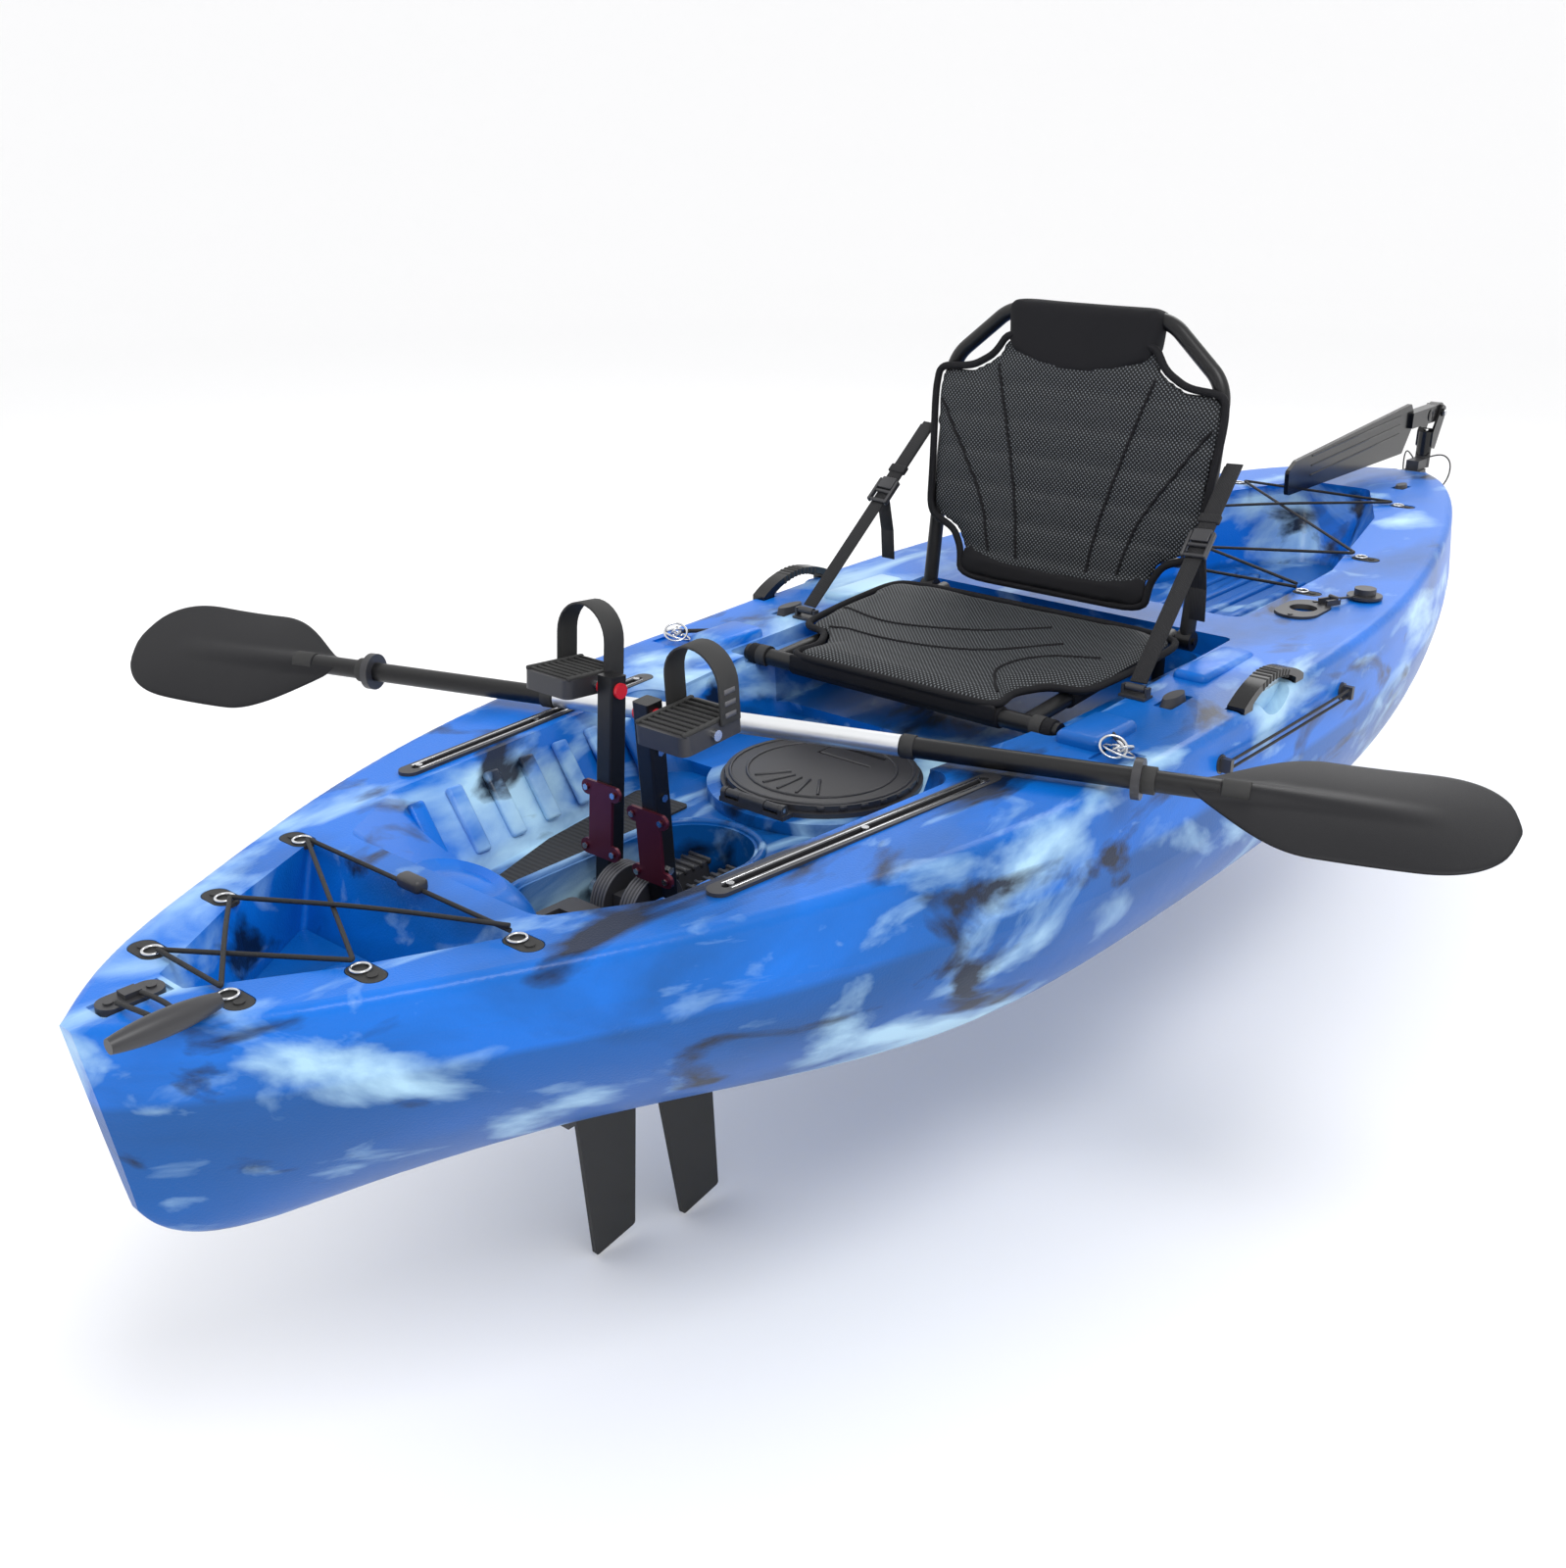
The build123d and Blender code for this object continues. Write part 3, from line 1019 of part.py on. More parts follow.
PADDLE_AT = Vector(-50, at(-663), 352)
PADDLE_WAY = Vector(cos(radians(PADDLE_TURN)), sin(radians(PADDLE_TURN)), 0)


def along_paddle(low, high, radius):
    """A round bar on the paddle's axis between two places measured from its middle."""
    return rod(PADDLE_AT + PADDLE_WAY * low, PADDLE_AT + PADDLE_WAY * high, radius)


TUBE_END = PADDLE_LENGTH / 2 - BLADE_LENGTH + 40
with BuildPart() as paddle_centre_tube:
    add(along_paddle(-PADDLE_CENTRE, PADDLE_CENTRE, PADDLE_SHAFT))
    add(along_paddle(-PADDLE_CENTRE, PADDLE_CENTRE, PADDLE_SHAFT - 1.8), mode=Mode.SUBTRACT)
finish(paddle_centre_tube.part, "paddle_centre_tube")
with BuildPart() as paddle_shafts:
    for hand in HANDS.values():
        low, high = sorted((hand * PADDLE_CENTRE, hand * TUBE_END))
        add(along_paddle(low, high, PADDLE_SHAFT - 0.5))
        low, high = sorted((hand * PADDLE_CENTRE, hand * (TUBE_END - 12)))
        add(along_paddle(low, high, PADDLE_SHAFT - 2.3), mode=Mode.SUBTRACT)
finish(paddle_shafts.part, "paddle_shafts")

with BuildPart() as drip_rings:
    for hand in HANDS.values():
        low, high = sorted((hand * (PADDLE_RING - 5), hand * (PADDLE_RING + 5)))
        add(along_paddle(low, high, PADDLE_SHAFT + 11))
        add(along_paddle(low - 1, high + 1, PADDLE_SHAFT - 0.5), mode=Mode.SUBTRACT)
finish(drip_rings.part, "drip_rings")

for side, hand in HANDS.items():
    tilt = 17 if hand > 0 else 32
    with BuildPart() as paddle_blade:
        flat = Plane(origin=PADDLE_AT, x_dir=PADDLE_WAY * hand, z_dir=(0, 0, 1)).rotated((tilt, 0, 0))
        with BuildSketch(flat.offset(-3)) as face:
            with BuildLine():
                end = PADDLE_LENGTH / 2
                Spline(
                    (TUBE_END - 20, -10),
                    (end - BLADE_LENGTH * 0.62, -BLADE_WIDTH * 0.46),
                    (end - BLADE_LENGTH * 0.2, -BLADE_WIDTH * 0.5),
                    (end, 0),
                    (end - BLADE_LENGTH * 0.16, BLADE_WIDTH * 0.5),
                    (end - BLADE_LENGTH * 0.58, BLADE_WIDTH * 0.44),
                    (TUBE_END - 20, 10),
                )
                Line((TUBE_END - 20, 10), (TUBE_END - 20, -10))
            make_face()
        extrude(amount=6)
        low, high = sorted((hand * (TUBE_END - 30), hand * (TUBE_END + 130)))
        add(along_paddle(low, high, PADDLE_SHAFT - 4))
        low, high = sorted((hand * (TUBE_END - 60), hand * TUBE_END))
        add(along_paddle(low, high, PADDLE_SHAFT - 0.5), mode=Mode.SUBTRACT)
    finish(paddle_blade.part, f"paddle_blade_{side}")
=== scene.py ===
"""Builds the looks of a pedal fin-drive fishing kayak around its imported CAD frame.

Metres. The bow points to -Y, +X is the port side and +Z is up, as in the frame.
"""

import json
import logging
from dataclasses import dataclass, field
from enum import Enum
from math import atan2, cos, pi, radians, sin
from typing import Callable, Iterable, Sequence

import bpy
from mathutils import Matrix, Vector

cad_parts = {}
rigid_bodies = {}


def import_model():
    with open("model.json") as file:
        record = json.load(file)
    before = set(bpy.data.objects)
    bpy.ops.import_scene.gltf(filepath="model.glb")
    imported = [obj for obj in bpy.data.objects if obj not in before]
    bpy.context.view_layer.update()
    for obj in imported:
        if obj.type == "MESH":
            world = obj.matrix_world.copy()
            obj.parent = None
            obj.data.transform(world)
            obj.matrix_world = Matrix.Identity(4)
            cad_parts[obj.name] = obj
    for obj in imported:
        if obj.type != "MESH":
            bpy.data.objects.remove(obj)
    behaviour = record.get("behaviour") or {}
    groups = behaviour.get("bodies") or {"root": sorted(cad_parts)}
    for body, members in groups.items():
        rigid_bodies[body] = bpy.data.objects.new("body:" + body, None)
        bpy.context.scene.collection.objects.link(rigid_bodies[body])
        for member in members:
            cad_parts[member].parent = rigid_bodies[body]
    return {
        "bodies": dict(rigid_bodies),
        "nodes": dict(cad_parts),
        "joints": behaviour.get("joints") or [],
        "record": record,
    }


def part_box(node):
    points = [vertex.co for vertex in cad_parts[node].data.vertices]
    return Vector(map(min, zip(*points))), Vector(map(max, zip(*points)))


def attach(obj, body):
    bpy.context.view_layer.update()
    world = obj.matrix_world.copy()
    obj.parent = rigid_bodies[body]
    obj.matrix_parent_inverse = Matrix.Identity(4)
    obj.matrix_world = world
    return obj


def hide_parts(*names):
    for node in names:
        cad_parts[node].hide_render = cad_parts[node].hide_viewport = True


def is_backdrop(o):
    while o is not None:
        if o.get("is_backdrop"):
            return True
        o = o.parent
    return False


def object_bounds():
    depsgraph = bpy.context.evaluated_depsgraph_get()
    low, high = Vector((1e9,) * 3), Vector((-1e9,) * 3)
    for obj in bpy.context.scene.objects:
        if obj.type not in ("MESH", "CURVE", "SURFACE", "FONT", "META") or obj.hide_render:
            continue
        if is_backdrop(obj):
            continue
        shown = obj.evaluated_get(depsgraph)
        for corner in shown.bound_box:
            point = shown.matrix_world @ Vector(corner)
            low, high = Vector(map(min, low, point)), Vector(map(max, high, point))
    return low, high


LOG = logging.getLogger("kayak")
Point = tuple[float, float, float]

DRIVE_Y = -0.865
PIVOT_Z = 0.196
HATCH_Y = -0.530
SEAT_Y = 0.008
SEAT_Z = 0.352
SEAT_FRONT_Y = -0.380
BACK_LEAN = radians(7.0)
BASE_TILT = radians(3.15)
BOW_PINS = ((0.188, -1.182, 0.327), (0.126, -1.311, 0.327), (0.079, -1.414, 0.327))
REAR_PINS = ((0.262, 0.338, 0.3537), (0.258, 0.572, 0.3616), (0.174, 0.940, 0.374))


class Body(str, Enum):
    """The bodies that pieces ride on."""

    HULL = "kayak"
    PORT_ARM = "port_arm"
    STARBOARD_ARM = "starboard_arm"
    PORT_PEDAL = "port_pedal"
    STARBOARD_PEDAL = "starboard_pedal"
    SEAT_BACK = "seat_back"
    PORT_STRAP = "port_strap"
    STARBOARD_STRAP = "starboard_strap"
    LID = "lid"
    TOGGLE = "toggle"
    RUDDER = "rudder"
    RUDDER_HEAD = "rudder_head"
    PADDLE = "paddle"


class Side(Enum):
    """The two hands of the boat."""

    PORT = 1
    STARBOARD = -1

    @property
    def word(self) -> str:
        """The side's name in a node's name."""
        return self.name.lower()


# ---------------------------------------------------------------- finishes


@dataclass(frozen=True)
class Finish:
    """A plain finish with a fine grain.

    Attributes:
        name: Name of the material.
        colour: Linear base colour.
        roughness: Surface roughness.
        metallic: One for bare metal.
        grain: Depth of the fine bumps in metres; none when zero.
        grain_size: Bumps per metre.
        coat: Weight of a clear coat.
        specular: Strength of the plain reflection.
    """

    name: str
    colour: Point
    roughness: float = 0.5
    metallic: float = 0.0
    grain: float = 0.0
    grain_size: float = 900.0
    coat: float = 0.0
    specular: float = 0.5

    def make(self) -> bpy.types.Material:
        """Makes the material on its first use.

        Returns:
            The material.
        """
        found = bpy.data.materials.get(self.name)
        if found:
            return found
        material = bpy.data.materials.new(self.name)
        material.use_nodes = True
        shader = material.node_tree.nodes["Principled BSDF"]
        shader.inputs["Base Color"].default_value = (*self.colour, 1)
        shader.inputs["Roughness"].default_value = self.roughness
        shader.inputs["Metallic"].default_value = self.metallic
        shader.inputs["Coat Weight"].default_value = self.coat
        shader.inputs["Specular IOR Level"].default_value = self.specular
        self.pattern(material.node_tree, shader)
        return material

    def pattern(self, tree: bpy.types.NodeTree, shader: bpy.types.ShaderNode) -> None:
        """Adds the fine grain to the shader.

        Args:
            tree: The material's tree.
            shader: Its shader.
        """
        if self.grain:
            noise = tree.nodes.new("ShaderNodeTexNoise")
            noise.inputs["Scale"].default_value = self.grain_size
            noise.inputs["Detail"].default_value = 2
            link_object_coordinates(tree, noise.inputs["Vector"])
            link_bump(tree, noise.outputs["Fac"], shader, self.grain)


def link_object_coordinates(
    tree: bpy.types.NodeTree, socket: bpy.types.NodeSocket, turn: Point = (0, 0, 0)
) -> None:
    """Feeds a socket with Object coordinates.

    Args:
        tree: The material's tree.
        socket: The vector input to feed.
        turn: Turn of the pattern in radians.
    """
    place = tree.nodes.new("ShaderNodeTexCoord")
    if any(turn):
        mapping = tree.nodes.new("ShaderNodeMapping")
        mapping.inputs["Rotation"].default_value = turn
        tree.links.new(place.outputs["Object"], mapping.inputs["Vector"])
        tree.links.new(mapping.outputs["Vector"], socket)
    else:
        tree.links.new(place.outputs["Object"], socket)


def link_bump(
    tree: bpy.types.NodeTree, height: bpy.types.NodeSocket, shader: bpy.types.ShaderNode, depth: float
) -> None:
    """Bumps a shader by a height.

    Args:
        tree: The material's tree.
        height: Output that gives the height from 0 to 1.
        shader: The shader to bump.
        depth: Height of the bumps in metres.
    """
    bump = tree.nodes.new("ShaderNodeBump")
    bump.inputs["Distance"].default_value = depth
    bump.inputs["Strength"].default_value = 0.7
    tree.links.new(height, bump.inputs["Height"])
    tree.links.new(bump.outputs["Normal"], shader.inputs["Normal"])


@dataclass(frozen=True)
class MarbledHull(Finish):
    """Rotomoulded plastic whose pigments have run together in clouds, with a painted shade on the hull under
    the crease.

    Attributes:
        pale: Linear colour of the pale clouds.
        dark: Linear colour of the dark smudges.
        deep_and_painted_shade: Linear colour of the darker clouds, and of the painted shade low on the hull.
        crease_z: Height of the crease, under which the painted shade starts.
    """

    pale: Point = (0.46, 0.72, 0.90)
    dark: Point = (0.003, 0.008, 0.024)
    deep_and_painted_shade: Point = (0.0015, 0.062, 0.22)
    crease_z: float = 0.250

    def pattern(self, tree: bpy.types.NodeTree, shader: bpy.types.ShaderNode) -> None:
        """Mixes the clouds, the smudges and the painted shade, a darker colour under the crease.

        Args:
            tree: The material's tree.
            shader: Its shader.
        """
        nodes, links = tree.nodes, tree.links
        split = nodes.new("ShaderNodeSeparateXYZ")
        link_object_coordinates(tree, split.inputs["Vector"])
        # Painted shade: the colour darkens under crease_z, standing in for the shading at the crease and low
        # on the hull.
        painted_shade_mask = nodes.new("ShaderNodeMapRange")
        painted_shade_mask.inputs["From Min"].default_value = self.crease_z
        painted_shade_mask.inputs["From Max"].default_value = self.crease_z - 0.010
        painted_shade_mask.inputs["To Max"].default_value = 0.62
        links.new(split.outputs["Z"], painted_shade_mask.inputs["Value"])
        shade = nodes.new("ShaderNodeMix")
        shade.data_type = "RGBA"
        shade.inputs["A"].default_value = (*self.colour, 1)
        shade.inputs["B"].default_value = (*self.deep_and_painted_shade, 1)
        links.new(painted_shade_mask.outputs["Result"], shade.inputs["Factor"])
        colour = shade.outputs["Result"]
        for size, low, high, tint, seed, weight in (
            (2.6, 0.46, 0.66, self.deep_and_painted_shade, 3.0, 0.7),
            (4.2, 0.53, 0.68, self.pale, 11.0, 0.92),
            (9.0, 0.60, 0.72, self.pale, 5.0, 0.45),
            (5.0, 0.570, 0.65, self.dark, 27.0, 0.97),
        ):
            noise = nodes.new("ShaderNodeTexNoise")
            noise.noise_dimensions = "4D"
            noise.inputs["W"].default_value = seed
            noise.inputs["Scale"].default_value = size
            noise.inputs["Detail"].default_value = 6
            noise.inputs["Distortion"].default_value = 0.9
            mapping = nodes.new("ShaderNodeMapping")
            mapping.inputs["Scale"].default_value = (1.5, 0.75, 1.9)
            place = nodes.new("ShaderNodeTexCoord")
            links.new(place.outputs["Object"], mapping.inputs["Vector"])
            links.new(mapping.outputs["Vector"], noise.inputs["Vector"])
            ramp = nodes.new("ShaderNodeMapRange")
            ramp.inputs["From Min"].default_value = low
            ramp.inputs["From Max"].default_value = high
            ramp.inputs["To Max"].default_value = weight
            links.new(noise.outputs["Fac"], ramp.inputs["Value"])
            mix = nodes.new("ShaderNodeMix")
            mix.data_type = "RGBA"
            mix.inputs["B"].default_value = (*tint, 1)
            links.new(ramp.outputs["Result"], mix.inputs["Factor"])
            links.new(colour, mix.inputs["A"])
            colour = mix.outputs["Result"]
        links.new(colour, shader.inputs["Base Color"])
        grain = nodes.new("ShaderNodeTexNoise")
        grain.inputs["Scale"].default_value = 420
        link_object_coordinates(tree, grain.inputs["Vector"])
        link_bump(tree, grain.outputs["Fac"], shader, 0.0004)


@dataclass(frozen=True)
class MeshFabric(Finish):
    """Spacer mesh: pale dots in a diamond grid on dark cloth.

    Attributes:
        dot: Linear colour of the dots.
        pitch: Distance between dots in metres.
        turn: Turn of the pattern about X, which lays its Y axis up the cloth.
    """

    dot: Point = (0.17, 0.185, 0.20)
    pitch: float = 0.0062
    turn: float = 0.0

    def pattern(self, tree: bpy.types.NodeTree, shader: bpy.types.ShaderNode) -> None:
        """Mixes the dots in and bumps them.

        Args:
            tree: The material's tree.
            shader: Its shader.
        """
        nodes, links = tree.nodes, tree.links
        split = nodes.new("ShaderNodeSeparateXYZ")
        link_object_coordinates(tree, split.inputs["Vector"], (self.turn, 0, 0))
        waves = []
        for across in (1, -1):
            lean = nodes.new("ShaderNodeMath")
            lean.operation = "MULTIPLY_ADD"
            lean.inputs[1].default_value = across
            links.new(split.outputs["X"], lean.inputs[0])
            links.new(split.outputs["Y"], lean.inputs[2])
            wave = nodes.new("ShaderNodeMath")
            wave.operation = "MULTIPLY"
            wave.inputs[1].default_value = 2 * pi / self.pitch
            links.new(lean.outputs[0], wave.inputs[0])
            sine = nodes.new("ShaderNodeMath")
            sine.operation = "SINE"
            links.new(wave.outputs[0], sine.inputs[0])
            waves.append(sine.outputs[0])
        both = nodes.new("ShaderNodeMath")
        both.operation = "ADD"
        links.new(waves[0], both.inputs[0])
        links.new(waves[1], both.inputs[1])
        dots = nodes.new("ShaderNodeMapRange")
        dots.inputs["From Min"].default_value = 0.5
        dots.inputs["From Max"].default_value = 1.5
        links.new(both.outputs[0], dots.inputs["Value"])
        mix = nodes.new("ShaderNodeMix")
        mix.data_type = "RGBA"
        mix.inputs["A"].default_value = (*self.colour, 1)
        mix.inputs["B"].default_value = (*self.dot, 1)
        links.new(dots.outputs["Result"], mix.inputs["Factor"])
        links.new(mix.outputs["Result"], shader.inputs["Base Color"])
        link_bump(tree, dots.outputs["Result"], shader, 0.0008)


@dataclass(frozen=True)
class Ribbed(Finish):
    """A finish with fine straight ribs, as on webbing, foam pads and pedal treads.

    Attributes:
        axis: Which Object axis the ribs repeat along: X, Y or Z.
        pitch: Distance between ribs in metres.
        depth: Height of a rib in metres.
    """

    axis: str = "Y"
    pitch: float = 0.003
    depth: float = 0.0006

    def pattern(self, tree: bpy.types.NodeTree, shader: bpy.types.ShaderNode) -> None:
        """Bumps the ribs.

        Args:
            tree: The material's tree.
            shader: Its shader.
        """
        nodes, links = tree.nodes, tree.links
        split = nodes.new("ShaderNodeSeparateXYZ")
        link_object_coordinates(tree, split.inputs["Vector"])
        wave = nodes.new("ShaderNodeMath")
        wave.operation = "MULTIPLY"
        wave.inputs[1].default_value = 2 * pi / self.pitch
        links.new(split.outputs[self.axis], wave.inputs[0])
        sine = nodes.new("ShaderNodeMath")
        sine.operation = "SINE"
        links.new(wave.outputs[0], sine.inputs[0])
        link_bump(tree, sine.outputs[0], shader, self.depth)


# The hull's finish carries a painted shade under the crease, beside its marbled clouds and smudges.
HULL_BLUE = MarbledHull("marbled_blue", (0.001, 0.150, 0.64), 0.34, coat=0.08, specular=0.25)
BLACK_PLASTIC = Finish("black_plastic", (0.005, 0.005, 0.006), 0.40, grain=0.0003, specular=0.20)
BLADE_BLACK = Finish("blade_black", (0.014, 0.014, 0.016), 0.42, grain=0.0002, specular=0.16)
GLOSS_BLACK = Finish("gloss_black", (0.004, 0.004, 0.005), 0.20, specular=0.4)
BLACK_TUBE = Finish("powder_coat", (0.007, 0.007, 0.008), 0.34, grain=0.0001, grain_size=1800, specular=0.35)
BLACK_RUBBER = Finish("black_rubber", (0.005, 0.005, 0.006), 0.6, grain=0.0003, specular=0.14)
PAD_FOAM = Ribbed("deck_foam", (0.018, 0.019, 0.021), 0.8, axis="Y", pitch=0.008, depth=0.0008)
STEEL = Finish("stainless", (0.62, 0.63, 0.65), 0.22, 1.0)
SILVER = Finish("silver_tube", (0.74, 0.76, 0.80), 0.27, 1.0, grain=0.00005)
MAROON = Finish("maroon_anodised", (0.105, 0.014, 0.030), 0.34, 0.55)
RED = Finish("red_bush", (0.45, 0.008, 0.012), 0.35)
YELLOW = Finish("yellow_tag", (0.62, 0.42, 0.02), 0.45)
WEBBING = Ribbed("webbing", (0.007, 0.007, 0.009), 0.75, axis="X", pitch=0.0022, depth=0.0004)
CORD_BLACK = Finish("cord_black", (0.010, 0.010, 0.011), 0.7, grain=0.0004, grain_size=1500)
CABLE = Finish("grey_cable", (0.09, 0.09, 0.10), 0.4)
PLAIN_CLOTH = Finish(
    "black_cloth", (0.007, 0.007, 0.009), 0.78, grain=0.0004, grain_size=1400, specular=0.25
)
BACK_MESH = MeshFabric("back_mesh", (0.007, 0.008, 0.010), 0.6, specular=0.3, turn=-pi / 2)
BASE_MESH = MeshFabric("base_mesh", (0.007, 0.008, 0.010), 0.6, specular=0.3)
FLOOR_PALE = Finish("floor_pale", (0.96, 0.96, 0.965), 0.95, specular=0.1)


# ---------------------------------------------------------------- workshop


def deselect() -> None:
    """Leaves nothing selected."""
    if bpy.context.object and bpy.context.object.mode != "OBJECT":
        bpy.ops.object.mode_set(mode="OBJECT")
    bpy.ops.object.select_all(action="DESELECT")


def pick(piece: bpy.types.Object) -> None:
    """Selects one piece and makes it active.

    Args:
        piece: The piece.
    """
    deselect()
    piece.select_set(True)
    bpy.context.view_layer.objects.active = piece


def settle(piece: bpy.types.Object) -> None:
    """Moves a piece's place into its mesh, so that its object sits at the origin."""
    pick(piece)
    bpy.ops.object.transform_apply(location=True, rotation=True, scale=True)


def smooth(piece: bpy.types.Object, angle: float = 40.0) -> None:
    """Shades a piece smooth, with edges sharper than an angle in degrees kept."""
    pick(piece)
    bpy.ops.object.shade_smooth_by_angle(angle=radians(angle))


def modify(piece: bpy.types.Object, kind: str, apply: bool = True, **settings: object) -> None:
    """Adds a modifier, and applies it.

    Args:
        piece: The piece to modify.
        kind: Blender's type of modifier.
        apply: Whether it is applied at once.
        settings: Its settings.
    """
    pick(piece)
    modifier = piece.modifiers.new(kind.title(), kind)
    for name, value in settings.items():
        setattr(modifier, name, value)
    if apply:
        bpy.ops.object.modifier_apply(modifier=modifier.name)


def dress(piece: bpy.types.Object, finish: Finish) -> None:
    """Gives a piece one finish all over."""
    piece.data.materials.clear()
    piece.data.materials.append(finish.make())


def select_faces(piece: bpy.types.Object, wanted: Callable[[bpy.types.MeshPolygon], bool]) -> None:
    """Opens a piece in edit mode with the wanted faces selected.

    Args:
        piece: The piece to edit.
        wanted: Says whether a face is selected.
    """
    pick(piece)
    bpy.ops.object.mode_set(mode="EDIT")
    bpy.ops.mesh.select_all(action="DESELECT")
    bpy.ops.mesh.select_mode(type="FACE")
    bpy.ops.object.mode_set(mode="OBJECT")
    for face in piece.data.polygons:
        face.select = wanted(face)
    bpy.ops.object.mode_set(mode="EDIT")


def rounded_box(
    name: str, centre: Sequence[float], size: Point, bevel: float, turn: Point = (0, 0, 0), segments: int = 3
) -> bpy.types.Object:
    """A box with rounded edges.

    Args:
        name: Name of the piece.
        centre: Where its middle is.
        size: Its size along its own axes.
        bevel: Radius of its edges.
        turn: Its turn as Euler angles.
        segments: Steps round each edge.

    Returns:
        The piece, at the origin.
    """
    deselect()
    bpy.ops.mesh.primitive_cube_add(size=1, location=centre, rotation=turn)
    piece = bpy.context.object
    piece.name = name
    piece.scale = size
    settle(piece)
    modify(piece, "BEVEL", width=bevel, segments=segments, limit_method="NONE")
    smooth(piece, 50)
    return piece


def round_bar(
    name: str,
    start: Sequence[float],
    end: Sequence[float],
    radius: float,
    vertices: int = 24,
    bevel: float = 0.0,
) -> bpy.types.Object:
    """A round bar from one point to another.

    Args:
        name: Name of the piece.
        start: Middle of one end.
        end: Middle of the other end.
        radius: Its radius.
        vertices: Steps round it.
        bevel: Radius of its end edges.

    Returns:
        The piece, at the origin.
    """
    run = Vector(end) - Vector(start)
    deselect()
    bpy.ops.mesh.primitive_cylinder_add(
        vertices=vertices,
        radius=radius,
        depth=run.length,
        location=(Vector(start) + Vector(end)) / 2,
        rotation=run.to_track_quat("Z", "Y").to_euler(),
    )
    piece = bpy.context.object
    piece.name = name
    settle(piece)
    if bevel:
        modify(piece, "BEVEL", width=bevel, segments=2, limit_method="ANGLE", angle_limit=radians(60))
    smooth(piece)
    return piece


def ring(
    name: str, centre: Sequence[float], radius: float, thick: float, normal: Sequence[float]
) -> bpy.types.Object:
    """A round ring.

    Args:
        name: Name of the piece.
        centre: Its middle.
        radius: Radius of its centreline.
        thick: Radius of its section.
        normal: Direction of its axis.

    Returns:
        The piece, at the origin.
    """
    deselect()
    bpy.ops.mesh.primitive_torus_add(
        major_radius=radius,
        minor_radius=thick,
        major_segments=36,
        minor_segments=10,
        location=centre,
        rotation=Vector(normal).to_track_quat("Z", "Y").to_euler(),
    )
    piece = bpy.context.object
    piece.name = name
    settle(piece)
    smooth(piece, 180)
    return piece


def line(
    name: str, points: Sequence[Sequence[float]], radius: float, curved: bool = True
) -> bpy.types.Object:
    """A round line along points.

    Args:
        name: Name of the piece.
        points: The points it follows.
        radius: Its radius.
        curved: Whether it bends smoothly, or runs straight between the points.

    Returns:
        The curve.
    """
    data = bpy.data.curves.new(name, "CURVE")
    data.dimensions = "3D"
    data.bevel_depth = radius
    data.bevel_resolution = 3
    data.resolution_u = data.render_resolution_u = 12
    data.use_fill_caps = True
    spline = data.splines.new("NURBS" if curved else "POLY")
    spline.points.add(len(points) - 1)
    for slot, point in zip(spline.points, points):
        slot.co = (*point, 1)
    if curved:
        spline.order_u = 3
        spline.use_endpoint_u = True
    piece = bpy.data.objects.new(name, data)
    bpy.context.collection.objects.link(piece)
    return piece


def as_mesh(piece: bpy.types.Object) -> bpy.types.Object:
    """Turns a curve into a mesh piece.

    Args:
        piece: The curve.

    Returns:
        The same piece, as a mesh.
    """
    pick(piece)
    bpy.ops.object.convert(target="MESH")
    smooth(piece, 60)
    return piece


def join(name: str, pieces: Sequence[bpy.types.Object]) -> bpy.types.Object:
    """Joins pieces of one finish and one body into one.

    Args:
        name: Name of the joined piece.
        pieces: The pieces.

    Returns:
        The joined piece.
    """
    deselect()
    for piece in pieces:
        piece.select_set(True)
    bpy.context.view_layer.objects.active = pieces[0]
    bpy.ops.object.join()
    pieces[0].name = name
    return pieces[0]


def place(piece: bpy.types.Object, finish: Finish, body: Body, slot: str) -> bpy.types.Object:
    """Dresses a piece and lets it ride.

    Args:
        piece: The piece.
        finish: Its finish.
        body: The body it rides on.
        slot: The record's slot that its finish stands for; not used.

    Returns:
        The piece.
    """
    dress(piece, finish)
    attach(piece, body.value)
    return piece


def on_surface(piece: bpy.types.Object, start: Vector, way: Vector, lift: float) -> Vector | None:
    """The point where a line meets a piece, lifted back towards its start.

    Args:
        piece: The piece that is met.
        start: Where the line starts.
        way: Its direction.
        lift: How far the point is lifted.

    Returns:
        The point, or None where the line misses.
    """
    hit, spot, _, _ = piece.ray_cast(start, way)
    return spot - way * lift if hit else None


# ---------------------------------------------------------------- camera, light and cords


